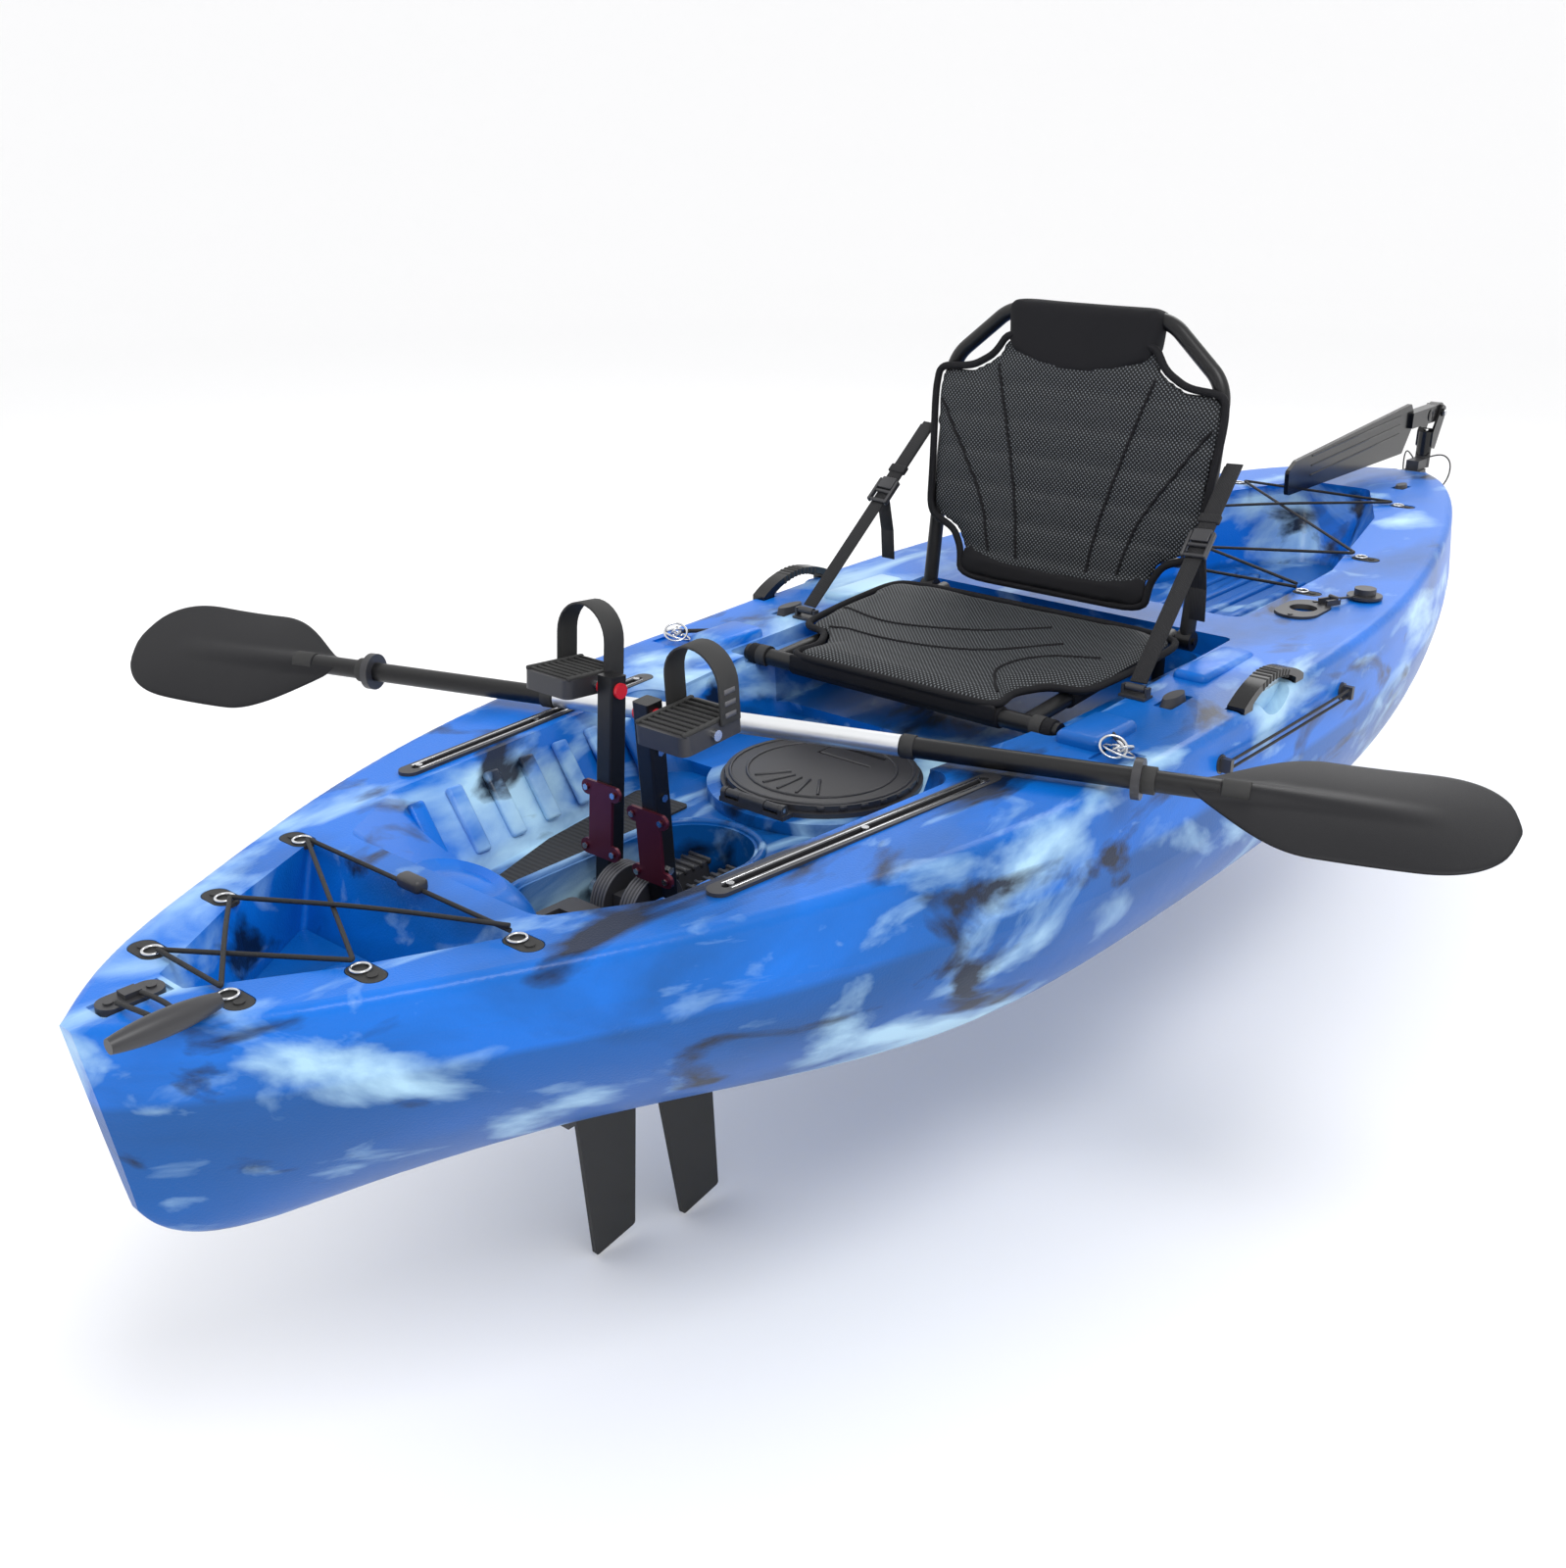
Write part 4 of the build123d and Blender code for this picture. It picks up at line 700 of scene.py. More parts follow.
@dataclass
class Studio:
    """The camera, the lights and the floor."""

    camera_at: Point = (1.2304, -2.0421, 1.0300)
    heading: float = radians(40.6)
    dip: float = radians(22.06)
    lens: float = 37.52
    floor_gap: float = 0.004

    def build(self, low_z: float) -> None:
        """Sets the camera, the lights, the sky and the floor.

        Args:
            low_z: Lowest point of the object.
        """
        scene = bpy.context.scene
        data = bpy.data.cameras.new("camera")
        data.lens, data.sensor_width, data.sensor_fit = self.lens, 36, "AUTO"
        data.clip_start = 0.05
        camera = bpy.data.objects.new("camera", data)
        camera.location = self.camera_at
        camera.rotation_euler = (pi / 2 - self.dip, 0, self.heading)
        scene.collection.objects.link(camera)
        scene.camera = camera
        scene.view_settings.view_transform = "Standard"
        world = bpy.data.worlds.new("sky")
        world.use_nodes = True
        world.node_tree.nodes["Background"].inputs["Color"].default_value = (1, 1, 1, 1)
        world.node_tree.nodes["Background"].inputs["Strength"].default_value = 1.0
        scene.world = world
        for name, at, size, power in (
            ("key", (2.2, -1.6, 3.8), 1.8, 75),
            ("fill", (-3.2, -1.6, 2.6), 3.0, 12),
            ("back", (-1.0, 3.2, 3.0), 2.4, 45),
        ):
            lamp = bpy.data.lights.new(name, "AREA")
            lamp.energy, lamp.size = power, size
            light = bpy.data.objects.new(name, lamp)
            light.location = at
            light.rotation_euler = (-Vector(at)).to_track_quat("-Z", "Y").to_euler()
            scene.collection.objects.link(light)
        deselect()
        bpy.ops.mesh.primitive_circle_add(
            vertices=96, radius=9, fill_type="NGON", location=(0, 0, low_z - self.floor_gap)
        )
        floor = bpy.context.object
        floor.name = "floor"
        settle(floor)
        select_faces(floor, lambda face: True)
        for step in range(8):
            lean = pi / 2 * (step + 1) / 8
            bpy.ops.mesh.extrude_region_move(TRANSFORM_OT_translate={"value": (0, 0, 0.9 * sin(lean))})
            bpy.ops.transform.resize(value=(1 + 0.07 * cos(lean), 1 + 0.07 * cos(lean), 1))
        bpy.ops.mesh.delete(type="FACE")
        bpy.ops.object.mode_set(mode="OBJECT")
        smooth(floor, 180)
        dress(floor, FLOOR_PALE)
        floor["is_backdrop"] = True


@dataclass
class DeckCords:
    """The bungees, the trolley line and the toggle's loop."""

    bungee: float = 0.0025
    lift: float = 0.0103
    reach: float = 0.027
    hop: float = 0.007

    def lace(self, name: str, pins: Sequence[Point]) -> None:
        """Laces one bungee over three pairs of rings.

        Args:
            name: Name of the cord and of the CAD node it stands for.
            pins: The port rings' pins, from the straight end.
        """
        spots = {
            (index, side): Vector((side * (x - self.reach), y, z + self.lift))
            for index, (x, y, z) in enumerate(pins)
            for side in (1, -1)
        }
        order = ((0, 1), (0, -1), (1, 1), (2, -1), (2, 1), (1, -1), (0, 1))
        route = [spots[order[0]]]
        for number, key in enumerate(order[1:], start=1):
            start, end = route[-1], spots[key]
            over = self.hop if number >= 5 else 0.0
            across = start.lerp(end, 0.5)
            route += [start.lerp(end, 0.04), across + Vector((0, 0, over)), start.lerp(end, 0.96), end]
        route[-1] = route[-1] + Vector((0, 0, 0.0052))
        route[-2] = route[-2] + Vector((0, 0, 0.0052))
        cord = line(name + "_cord", route, self.bungee)
        place(cord, CORD_BLACK, Body.HULL, "black_cord")
        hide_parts(name)
        low, high = spots[(0, 1)], spots[(0, -1)]
        middle = low.lerp(high, 0.45)
        stopper = rounded_box(
            name + "_adjuster", middle + Vector((0, 0, 0.004)), (0.034, 0.017, 0.015), 0.005
        )
        place(stopper, BLACK_PLASTIC, Body.HULL, "black_plastic")

    def trolley(self) -> None:
        """Runs the two lines of the anchor trolley along the port flank."""
        low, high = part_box("trolley_line")
        x = (low[0] + high[0]) / 2
        for tag, z in (("upper", high[2] - 0.002), ("lower", low[2] + 0.002)):
            route = [(x, low[1], z), (x, (low[1] + high[1]) / 2, z - 0.001), (x, high[1], z)]
            cord = line(f"trolley_cord_{tag}", route, 0.002)
            place(cord, CORD_BLACK, Body.HULL, "black_cord")
            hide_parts("trolley_line")

    def toggle(self) -> None:
        """Runs the toggle's cord from the bow plate through the toggle and back."""
        low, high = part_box("bow_toggle_cord")
        near, far = Vector((low[0] + 0.0025, 0, low[2] + 0.003)), Vector(
            (high[0] + 0.012, 0, high[2] - 0.002)
        )
        aft, fore = high[1] - 0.003, low[1] + 0.003
        route = [
            (near.x, aft, near.z),
            ((near.x + far.x) / 2, aft, (near.z + far.z) / 2 + 0.003),
            (far.x, aft - 0.004, far.z),
            (far.x, fore + 0.004, far.z),
            ((near.x + far.x) / 2, fore, (near.z + far.z) / 2 + 0.003),
            (near.x, fore, near.z),
        ]
        cord = line("toggle_cord", route, 0.0025)
        place(cord, CORD_BLACK, Body.TOGGLE, "black_cord")
        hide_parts("bow_toggle_cord")

    def steering(self) -> None:
        """Loops each steering line from the rudder's bracket over the stern and into the hull."""
        for side in Side:
            hand = side.value
            route = [
                (hand * 0.012, 1.455, 0.372),
                (hand * 0.034, 1.480, 0.384),
                (hand * 0.050, 1.508, 0.366),
                (hand * 0.050, 1.512, 0.330),
                (hand * 0.036, 1.500, 0.300),
                (hand * 0.018, 1.480, 0.286),
            ]
            cord = line(f"steering_line_{side.word}", route, 0.0015)
            place(cord, CORD_BLACK, Body.HULL, "black_cord")

    def build(self) -> None:
        """Makes every cord on the deck."""
        self.lace("bow_bungee", BOW_PINS)
        self.lace("rear_bungee", REAR_PINS)
        self.trolley()
        self.toggle()
        self.steering()
        LOG.info("cords laid")


# ---------------------------------------------------------------- hull


@dataclass
class HullDressing:
    """The hull's finish and its moulded ribs, blocks and cups.

    Attributes:
        floor_z: Height of the bow well's floor.
        nodes: The frame's CAD nodes by name.
    """

    floor_z: float = 0.246
    nodes: dict[str, bpy.types.Object] = field(default_factory=dict)

    def paint(self) -> None:
        """Gives every CAD node that stays its finish."""
        finishes = {
            HULL_BLUE: ("hull",),
            BLACK_PLASTIC: (
                "gear_rail_port", "gear_rail_starboard", "bow_handle_plate", "deck_cleats", "trolley_eyes",
                "rod_holder", "rod_holder_cap", "hatch_ring", "hatch_lid", "hatch_latch", "drive_base",
                "front_latch_housing", "rear_housings", "arm_drum_port", "arm_drum_starboard", "pedal_port",
                "pedal_starboard", "strap_hooks", "drip_rings", "bow_toggle", "rudder_bracket",
            ),
            GLOSS_BLACK: ("side_handles", "rudder_yoke", "rudder_blade"),
            BLACK_TUBE: (
                "seat_base_frame", "seat_back_frame", "pedal_arm_port", "pedal_arm_starboard",
                "paddle_shafts"
            ),
            BLACK_RUBBER: ("deck_tabs", "seat_bar_sleeves", "front_fin", "rear_fin"),
            STEEL: (
                "tab_rings", "hinge_pins", "arm_axle", "fin_axle",
                "pedal_spindle_port", "pedal_spindle_starboard",
            ),
            CABLE: ("drive_cables",),
            SILVER: ("paddle_centre_tube",),
            MAROON: ("arm_bracket_port", "arm_bracket_starboard"),
            RED: ("spindle_bushes_port", "spindle_bushes_starboard"),
            PAD_FOAM: ("footwell_pads",),
        }
        for finish, names in finishes.items():
            for name in names:
                if name in self.nodes:
                    dress(self.nodes[name], finish)

    def ribs(self) -> None:
        """Adds the long ribs on the floors and the short ones on the cockpit's walls."""
        pieces = []
        for x in (-0.045, -0.015, 0.015, 0.045):
            pieces.append(rounded_box("rib", (x, -1.262, self.floor_z), (0.014, 0.10, 0.010), 0.004))
        for x in (-0.09, -0.045, 0.0, 0.045, 0.09):
            pieces.append(rounded_box("rib", (x, 0.52, 0.236), (0.018, 0.60, 0.012), 0.005))
        place(join("floor_ribs", pieces), HULL_BLUE, Body.HULL, "blue_hull")
        pieces = []
        for side in Side:
            for step in range(7):
                share = step / 6
                y = -1.02 + 0.36 * share
                x = 0.170 + 0.038 * share
                pieces.append(
                    rounded_box(
                        "rib", (side.value * x, y, 0.282), (0.010, 0.022, 0.085), 0.004,
                        (0, side.value * 0.62, 0)
                    )
                )
        place(join("wall_ribs", pieces), HULL_BLUE, Body.HULL, "blue_hull")

    def blocks(self) -> None:
        """Adds the raised blocks beside the seat's crossbar and the moulded bump with its cup."""
        pieces = []
        for side in Side:
            x = side.value * 0.305
            pieces.append(
                rounded_box("block", (x, SEAT_FRONT_Y + 0.004, 0.337), (0.062, 0.10, 0.030), 0.010)
            )
            pieces.append(
                rounded_box("block", (side.value * 0.300, -0.060, 0.345), (0.050, 0.15, 0.022), 0.009)
            )
        place(join("gunwale_blocks", pieces), HULL_BLUE, Body.HULL, "blue_hull")
        deselect()
        bpy.ops.mesh.primitive_uv_sphere_add(
            segments=40, ring_count=20, radius=1, location=(0, -1.112, 0.268)
        )
        bump = bpy.context.object
        bump.scale = (0.105, 0.055, 0.060)
        settle(bump)
        bump.name = "foredeck_bump"
        select_faces(bump, lambda face: face.center.z > 0.3225)
        bpy.ops.transform.translate(value=(0, 0, -0.012))
        bpy.ops.object.mode_set(mode="OBJECT")
        smooth(bump, 60)
        place(bump, HULL_BLUE, Body.HULL, "blue_hull")

    def rail_lines(self) -> None:
        """Lays a bright strip on each lip of each rail's slot."""
        for side in Side:
            low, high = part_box(f"gear_rail_{side.word}")
            middle = Vector(((low[0] + high[0]) / 2, (low[1] + high[1]) / 2, high[2] + 0.0002))
            along = Vector((side.value * sin(radians(5)), cos(radians(5)), 0))
            across = Vector((along.y, -along.x, 0))
            strips = []
            for step in (-0.0072, 0.0072):
                centre = middle + across * step
                turn = (0, 0, atan2(along.y, along.x) - pi / 2)
                strips.append(rounded_box("strip", centre, (0.0022, 0.400, 0.0012), 0.0004, turn, 1))
            for step in (-0.195, 0.0, 0.195):
                spot = middle + along * step
                strips.append(
                    round_bar("screw", spot - Vector((0, 0, 0.003)), spot + Vector((0, 0, 0.0014)), 0.0042)
                )
            place(join(f"rail_strips_{side.word}", strips), STEEL, Body.HULL, "bright_steel")

    def lanyards(self) -> None:
        """Makes each gunwale's wire ring, its knotted cord and its tail."""
        low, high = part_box("gunwale_lanyards")
        y = (low[1] + high[1]) / 2
        for side in Side:
            x = side.value * (high[0] - 0.022)
            z = low[2] + 0.006
            wires = [ring("wire", (x, y + 0.003, z + 0.004), 0.019, 0.0016, (0.2, 0.3, 1))]
            wires.append(
                ring("wire", (x - side.value * 0.004, y - 0.004, z + 0.011), 0.016, 0.0016, (0.5, -0.5, 1))
            )
            wires.append(
                ring("wire", (x + side.value * 0.005, y + 0.002, z + 0.008), 0.013, 0.0016, (-0.6, 0.4, 1))
            )
            knot = [
                (
                    x + 0.006 * cos(3 * turn) * (1 + 0.4 * cos(2 * turn)), y + 0.009 * sin(turn),
                    z + 0.009 + 0.006 * sin(2 * turn)
                )
                for turn in (pi * step / 12 for step in range(25))
            ]
            wires.append(as_mesh(line("knot", knot, 0.0018)))
            wire = place(join(f"lanyard_wire_{side.word}", wires), STEEL, Body.HULL, "bright_steel")
            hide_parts("gunwale_lanyards")
            route = [
                (x, y + 0.012, z + 0.008),
                (x - side.value * 0.020, y + 0.030, z + 0.009),
                (x - side.value * 0.042, y + 0.052, z + 0.008),
            ]
            cord = line(f"lanyard_tail_{side.word}", route, 0.003)
            place(cord, CORD_BLACK, Body.HULL, "black_cord")

    def build(self) -> None:
        """Dresses the hull and its fittings."""
        self.paint()
        self.ribs()
        self.blocks()
        self.rail_lines()
        self.lanyards()
        LOG.info("hull dressed")


@dataclass
class SideHandles:
    """The ribbed grips on the two side handles."""

    grips: int = 9

    def build(self) -> None:
        """Adds raised ribs across each handle's arch."""
        low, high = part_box("side_handles")
        middle_y = (low[1] + high[1]) / 2
        for side in Side:
            pieces = []
            for step in range(self.grips):
                share = (step - (self.grips - 1) / 2) / ((self.grips - 1) / 2)
                y = middle_y + share * 0.036
                z = high[2] - 0.0045 - 0.0068 * share * share
                pieces.append(
                    rounded_box(
                        "grip", (side.value * 0.400, y, z), (0.0256, 0.005, 0.0115), 0.0015,
                        (-0.28 * share, 0, 0), 2
                    )
                )
            place(join(f"handle_grip_{side.word}", pieces), BLACK_RUBBER, Body.HULL, "black_plastic")
        LOG.info("handles ribbed")


class Hatch:
    """The rings, ribs and edge grips of the deck hatch."""

    def build(self) -> None:
        """Adds the lid's raised rings, its ribs and its edge grips."""
        _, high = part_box("hatch_lid")
        top, inner, outer, grips = 0.2613, 0.040, 0.088, 28
        pieces = [
            ring("lid_ring", (0, HATCH_Y, top), radius, 0.0022, (0, 0, 1)) for radius in (0.118, 0.096)
        ]
        for step in range(5):
            angle = pi * (0.30 + 0.10 * step)
            start = Vector((inner * cos(angle + pi), HATCH_Y + inner * sin(angle + pi), top))
            end = Vector((outer * cos(angle + pi), HATCH_Y + outer * sin(angle + pi), top))
            pieces.append(round_bar("lid_rib", start, end, 0.0022, 10, 0.001))
        for step in range(grips):
            angle = 2 * pi * step / grips
            centre = (0.1235 * cos(angle), HATCH_Y + 0.1235 * sin(angle), top - 0.0035)
            if abs(angle - 1.5 * pi) > 0.5:
                pieces.append(
                    rounded_box("lid_grip", centre, (0.0035, 0.010, 0.006), 0.001, (0, 0, angle), 1)
                )
        place(join("lid_ribs", pieces), BLACK_PLASTIC, Body.LID, "black_plastic")
        LOG.info("hatch done, top at %.3f", high[2])


# ---------------------------------------------------------------- seat


@dataclass
class Pad:
    """A padded cloth panel, blown up by a cloth simulation.

    Attributes:
        name: Name of the piece.
        outline: Its corners as (across, along) in metres.
        origin: Where across and along are zero.
        up: Direction of along.
        face: Direction out of the panel's face.
        thick: Its thickness before it swells.
        swell: The most that a point may move.
        voxel: Size of the remesh's cells.
    """

    name: str
    outline: Sequence[tuple[float, float]]
    origin: Vector
    up: Vector
    face: Vector
    thick: float = 0.008
    swell: float = 0.007
    voxel: float = 0.006

    def point(self, across: float, along: float, out: float = 0.0) -> Vector:
        """The place of a point of the panel."""
        return self.origin + Vector((across, 0, 0)) + self.up * along + self.face * out

    def rounded_outline(self, steps: int = 5, share: float = 0.34) -> list[tuple[float, float]]:
        """The outline with each corner cut to a curve.

        Args:
            steps: Points round each corner.
            share: How much of each side the corner takes.

        Returns:
            The finer outline.
        """
        fine = []
        count = len(self.outline)
        for index in range(count):
            before, here, after = (Vector(self.outline[(index + step) % count]) for step in (-1, 0, 1))
            reach_in, reach_out = (min(share * (other - here).length, 0.05) for other in (before, after))
            start = here + (before - here).normalized() * reach_in
            end = here + (after - here).normalized() * reach_out
            for step in range(steps + 1):
                part = step / steps
                spot = start.lerp(here, part).lerp(here.lerp(end, part), part)
                fine.append((spot.x, spot.y))
        return fine

    def shell(self) -> bpy.types.Object:
        """Makes the flat panel as a closed shell.

        Returns:
            The shell, remeshed and ready to swell.
        """
        rim = self.rounded_outline()
        data = bpy.data.meshes.new(self.name)
        data.from_pydata([self.point(*spot) for spot in rim], [], [tuple(range(len(rim)))])
        piece = bpy.data.objects.new(self.name, data)
        bpy.context.collection.objects.link(piece)
        select_faces(piece, lambda face: True)
        bpy.ops.mesh.extrude_region_move(TRANSFORM_OT_translate={"value": self.face * self.thick})
        bpy.ops.mesh.select_all(action="SELECT")
        bpy.ops.mesh.normals_make_consistent(inside=False)
        bpy.ops.object.mode_set(mode="OBJECT")
        modify(piece, "REMESH", mode="VOXEL", voxel_size=self.voxel)
        return piece

    def inflate(self, piece: bpy.types.Object) -> None:
        """Blows the shell up and holds every point within the swell.

        Args:
            piece: The remeshed shell.
        """
        scene = bpy.context.scene
        before = [vertex.co.copy() for vertex in piece.data.vertices]
        pick(piece)
        modifier = piece.modifiers.new("Cloth", "CLOTH")
        cloth = modifier.settings
        cloth.quality = 4
        cloth.mass = 0.3
        cloth.tension_stiffness = cloth.compression_stiffness = 14
        cloth.bending_stiffness = 0.4
        cloth.use_pressure = True
        cloth.uniform_pressure_force = 4
        cloth.effector_weights.gravity = 0
        modifier.point_cache.frame_start, modifier.point_cache.frame_end = 1, 20
        for frame in range(1, 21):
            scene.frame_set(frame)
        bpy.ops.object.modifier_apply(modifier=modifier.name)
        scene.frame_set(1)
        for vertex, start in zip(piece.data.vertices, before):
            moved = vertex.co - start
            if moved.length > self.swell:
                vertex.co = start + moved.normalized() * self.swell

    def build(self, finish: Finish, node: str) -> bpy.types.Object:
        """Makes the panel.

        Args:
            finish: Its cloth.
            node: The CAD node that it stands for.

        Returns:
            The panel.
        """
        piece = self.shell()
        self.inflate(piece)
        modify(piece, "SMOOTH", factor=0.5, iterations=3)
        modify(piece, "SUBSURF", levels=1, render_levels=1)
        smooth(piece, 180)
        dress(piece, finish)
        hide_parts(node)
        return piece

    def seam(
        self, piece: bpy.types.Object, name: str, route: Sequence[tuple[float, float]], radius: float,
        fine: int = 24
    ) -> bpy.types.Object | None:
        """Lays a line of piping over the panel's face.

        Args:
            piece: The finished panel.
            name: Name of the line.
            route: Its bends as (across, along).
            radius: Its radius.
            fine: Points along it.

        Returns:
            The line as a mesh, or None where it misses the panel.
        """
        spots = []
        for step in range(fine + 1):
            part = step / fine * (len(route) - 1)
            index = min(int(part), len(route) - 2)
            p = [Vector(route[max(0, min(len(route) - 1, index + k))]) for k in (-1, 0, 1, 2)]
            t = part - index
            spot = 0.5 * (
                2 * p[1] + (p[2] - p[0]) * t + (2 * p[0] - 5 * p[1] + 4 * p[2] - p[3]) * t * t
                + (3 * p[1] - p[0] - 3 * p[2] + p[3]) * t * t * t
            )
            found = on_surface(piece, self.point(spot.x, spot.y, 0.08), -self.face, radius * 0.1)
            if found:
                spots.append(found)
        return as_mesh(line(name, spots, radius)) if len(spots) > 3 else None


@dataclass
class Seat:
    """The seat's two mesh panels, its black bands, seams, straps and buckles."""

    back_up: Vector = field(default_factory=lambda: Vector((0, sin(BACK_LEAN), cos(BACK_LEAN))))
    back_face: Vector = field(default_factory=lambda: Vector((0, -cos(BACK_LEAN), sin(BACK_LEAN))))
    base_up: Vector = field(default_factory=lambda: Vector((0, cos(BASE_TILT), sin(BASE_TILT))))
    base_face: Vector = field(default_factory=lambda: Vector((0, -sin(BASE_TILT), cos(BASE_TILT))))

    def back(self) -> None:
        """Makes the back panel, its head band, its foot band and its seams."""
        half = [
            (0.158, 0.032), (0.162, 0.072), (0.178, 0.100), (0.226, 0.118), (0.230, 0.200),
            (0.238, 0.300), (0.234, 0.338), (0.176, 0.342), (0.140, 0.362), (0.118, 0.396),
        ]
        outline = [*half, *[(-x, h) for x, h in reversed(half)]]
        origin = Vector((0, SEAT_Y, SEAT_Z)) + self.back_face * 0.0105
        pad = Pad("seat_back_panel", outline, origin, self.back_up, self.back_face, 0.006, 0.005)
        panel = pad.build(BACK_MESH, "seat_back_fabric")
        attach(panel, Body.SEAT_BACK.value)
        head_rim = [
            (0.118, 0.372), (0.070, 0.348), (0.0, 0.340), (-0.070, 0.348), (-0.118, 0.372),
            (-0.124, 0.410), (-0.126, 0.446), (0.126, 0.446), (0.124, 0.410),
        ]
        tube_back = origin - self.back_face * 0.0235
        head = Pad("seat_head_band", head_rim, tube_back, self.back_up, self.back_face, 0.033, 0.003)
        foot_rim = [
            (0.156, 0.030), (0.160, 0.082), (0.080, 0.070), (0.0, 0.066),
            (-0.080, 0.070), (-0.160, 0.082), (-0.156, 0.030),
        ]
        foot = Pad(
            "seat_foot_band", foot_rim, origin + self.back_face * 0.002, self.back_up, self.back_face, 0.009,
            0.004
        )
        for band in (head, foot):
            piece = band.build(PLAIN_CLOTH, "seat_back_fabric")
            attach(piece, Body.SEAT_BACK.value)
        seams = []
        for sign in (1, -1):
            for number, route in enumerate((
                [(0.128, 0.348), (0.098, 0.250), (0.072, 0.150), (0.060, 0.072)],
                [(0.222, 0.290), (0.178, 0.225), (0.132, 0.150), (0.110, 0.076)],
            )):
                seams.append(
                    pad.seam(panel, f"back_seam_{number}", [(sign * x, h) for x, h in route], 0.0022)
                )
        rim = pad.rounded_outline()
        seams.append(
            as_mesh(line("back_rim", [pad.point(*spot, 0.006) for spot in [*rim, rim[0]]], 0.0055, False))
        )
        piping = join("seat_back_seams", [seam for seam in seams if seam])
        place(piping, PLAIN_CLOTH, Body.SEAT_BACK, "mesh_fabric")

    def base(self) -> None:
        """Makes the base panel, its front band and its seams."""
        half = [
            (0.172, -0.014), (0.160, 0.040), (0.186, 0.085), (0.236, 0.096), (0.246, 0.200), (0.246, 0.330),
            (0.180, 0.344)
        ]
        outline = [*half, *[(-x, h) for x, h in reversed(half)]]
        origin = Vector((0, SEAT_FRONT_Y, 0.3432))
        pad = Pad("seat_base_panel", outline, origin, self.base_up, self.base_face)
        panel = pad.build(BASE_MESH, "seat_base_fabric")
        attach(panel, Body.HULL.value)
        seams = []
        for number, route in enumerate((
            [(-0.220, 0.170), (-0.120, 0.150), (0.0, 0.190), (0.080, 0.260)],
            [(-0.190, 0.100), (-0.080, 0.090), (0.040, 0.120), (0.130, 0.210)],
            [(0.150, 0.020), (0.110, 0.080), (0.130, 0.150), (0.200, 0.190)],
        )):
            seams.append(pad.seam(panel, f"base_seam_{number}", route, 0.0020))
        rim = pad.rounded_outline()
        seams.append(
            as_mesh(line("base_rim", [pad.point(*spot, 0.005) for spot in [*rim, rim[0]]], 0.0052, False))
        )
        piping = join("seat_base_seams", [seam for seam in seams if seam])
        place(piping, PLAIN_CLOTH, Body.HULL, "mesh_fabric")
        bands = []
        sleeve = round_bar(
            "front_wrap", (-0.172, SEAT_FRONT_Y, 0.3302), (0.172, SEAT_FRONT_Y, 0.3302), 0.0148, 32, 0.002
        )
        bands.append(sleeve)
        bands.append(
            rounded_box("front_skirt", (0, SEAT_FRONT_Y - 0.0145, 0.338), (0.338, 0.006, 0.020), 0.0025)
        )
        for side in Side:
            start = Vector((side.value * 0.2035, SEAT_FRONT_Y + 0.10, 0.3360))
            end = Vector((side.value * 0.1985, SEAT_FRONT_Y + 0.345, 0.3490))
            bands.append(round_bar("side_wrap", start, end, 0.0135, 24, 0.002))
            bands.append(
                round_bar(
                    "keeper", (side.value * 0.236, SEAT_FRONT_Y, 0.3302),
                    (side.value * 0.250, SEAT_FRONT_Y, 0.3302), 0.0145, 24, 0.001
                )
            )
        place(join("seat_wraps", bands), PLAIN_CLOTH, Body.HULL, "black_cord")

    def straps(self) -> None:
        """Makes each side strap with its buckle, its slide and its hanging tail."""
        hook_low, hook_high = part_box("strap_hooks")
        hook_y = (hook_low[1] + hook_high[1]) / 2
        hook_z = hook_high[2] - 0.003
        far = Vector((0.254, SEAT_Y, SEAT_Z)) + self.back_up * 0.25
        for side in Side:
            body = Body.PORT_STRAP if side is Side.PORT else Body.STARBOARD_STRAP
            start = Vector((side.value * 0.276, hook_y, hook_z))
            end = Vector((side.value * far.x, far.y, far.z))
            run = (end - start).normalized()
            reach = (end - start).length
            across = Vector((0, -run.z, run.y)).normalized()
            wide = across.cross(run).normalized()
            turn = Matrix((run, wide, across)).transposed().to_euler()
            band = []
            centre = start + run * (reach / 2 + 0.004)
            band.append(rounded_box("band", centre, (reach - 0.008, 0.024, 0.0022), 0.0007, turn, 1))
            upper = start + run * (reach * 0.80) + across * 0.0026
            band.append(rounded_box("band", upper, (reach * 0.36, 0.024, 0.0022), 0.0007, turn, 1))
            band.append(
                rounded_box(
                    "slide", start + run * (reach * 0.74) + across * 0.002, (0.014, 0.030, 0.008), 0.002,
                    turn
                )
            )
            tail_top = start + run * (reach * 0.60) - across * 0.006
            tail = [tail_top, tail_top + Vector((0, 0.012, -0.05)), tail_top + Vector((0, 0.016, -0.095))]
            for low, high in zip(tail, tail[1:]):
                middle, length = (low + high) / 2, (high - low).length
                lean = atan2(high.y - low.y, -(high.z - low.z))
                band.append(
                    rounded_box("tail", middle, (0.024, 0.0022, length + 0.002), 0.0007, (lean, 0, 0), 1)
                )
            webbing = place(join(f"strap_webbing_{side.word}", band), WEBBING, body, "black_cord")
            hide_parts(f"seat_strap_{side.word}")
            spot = start + run * (reach * 0.62)
            frame = []
            for step in (-0.017, 0.0, 0.017):
                bar_from = spot + run * step - wide * 0.016 + across * 0.003
                frame.append(round_bar("bar", bar_from, bar_from + wide * 0.032, 0.0030, 12))
            for step in (-0.016, 0.016):
                frame.append(
                    rounded_box(
                        "cheek", spot + wide * step + across * 0.003, (0.042, 0.0045, 0.009), 0.0018, turn
                    )
                )
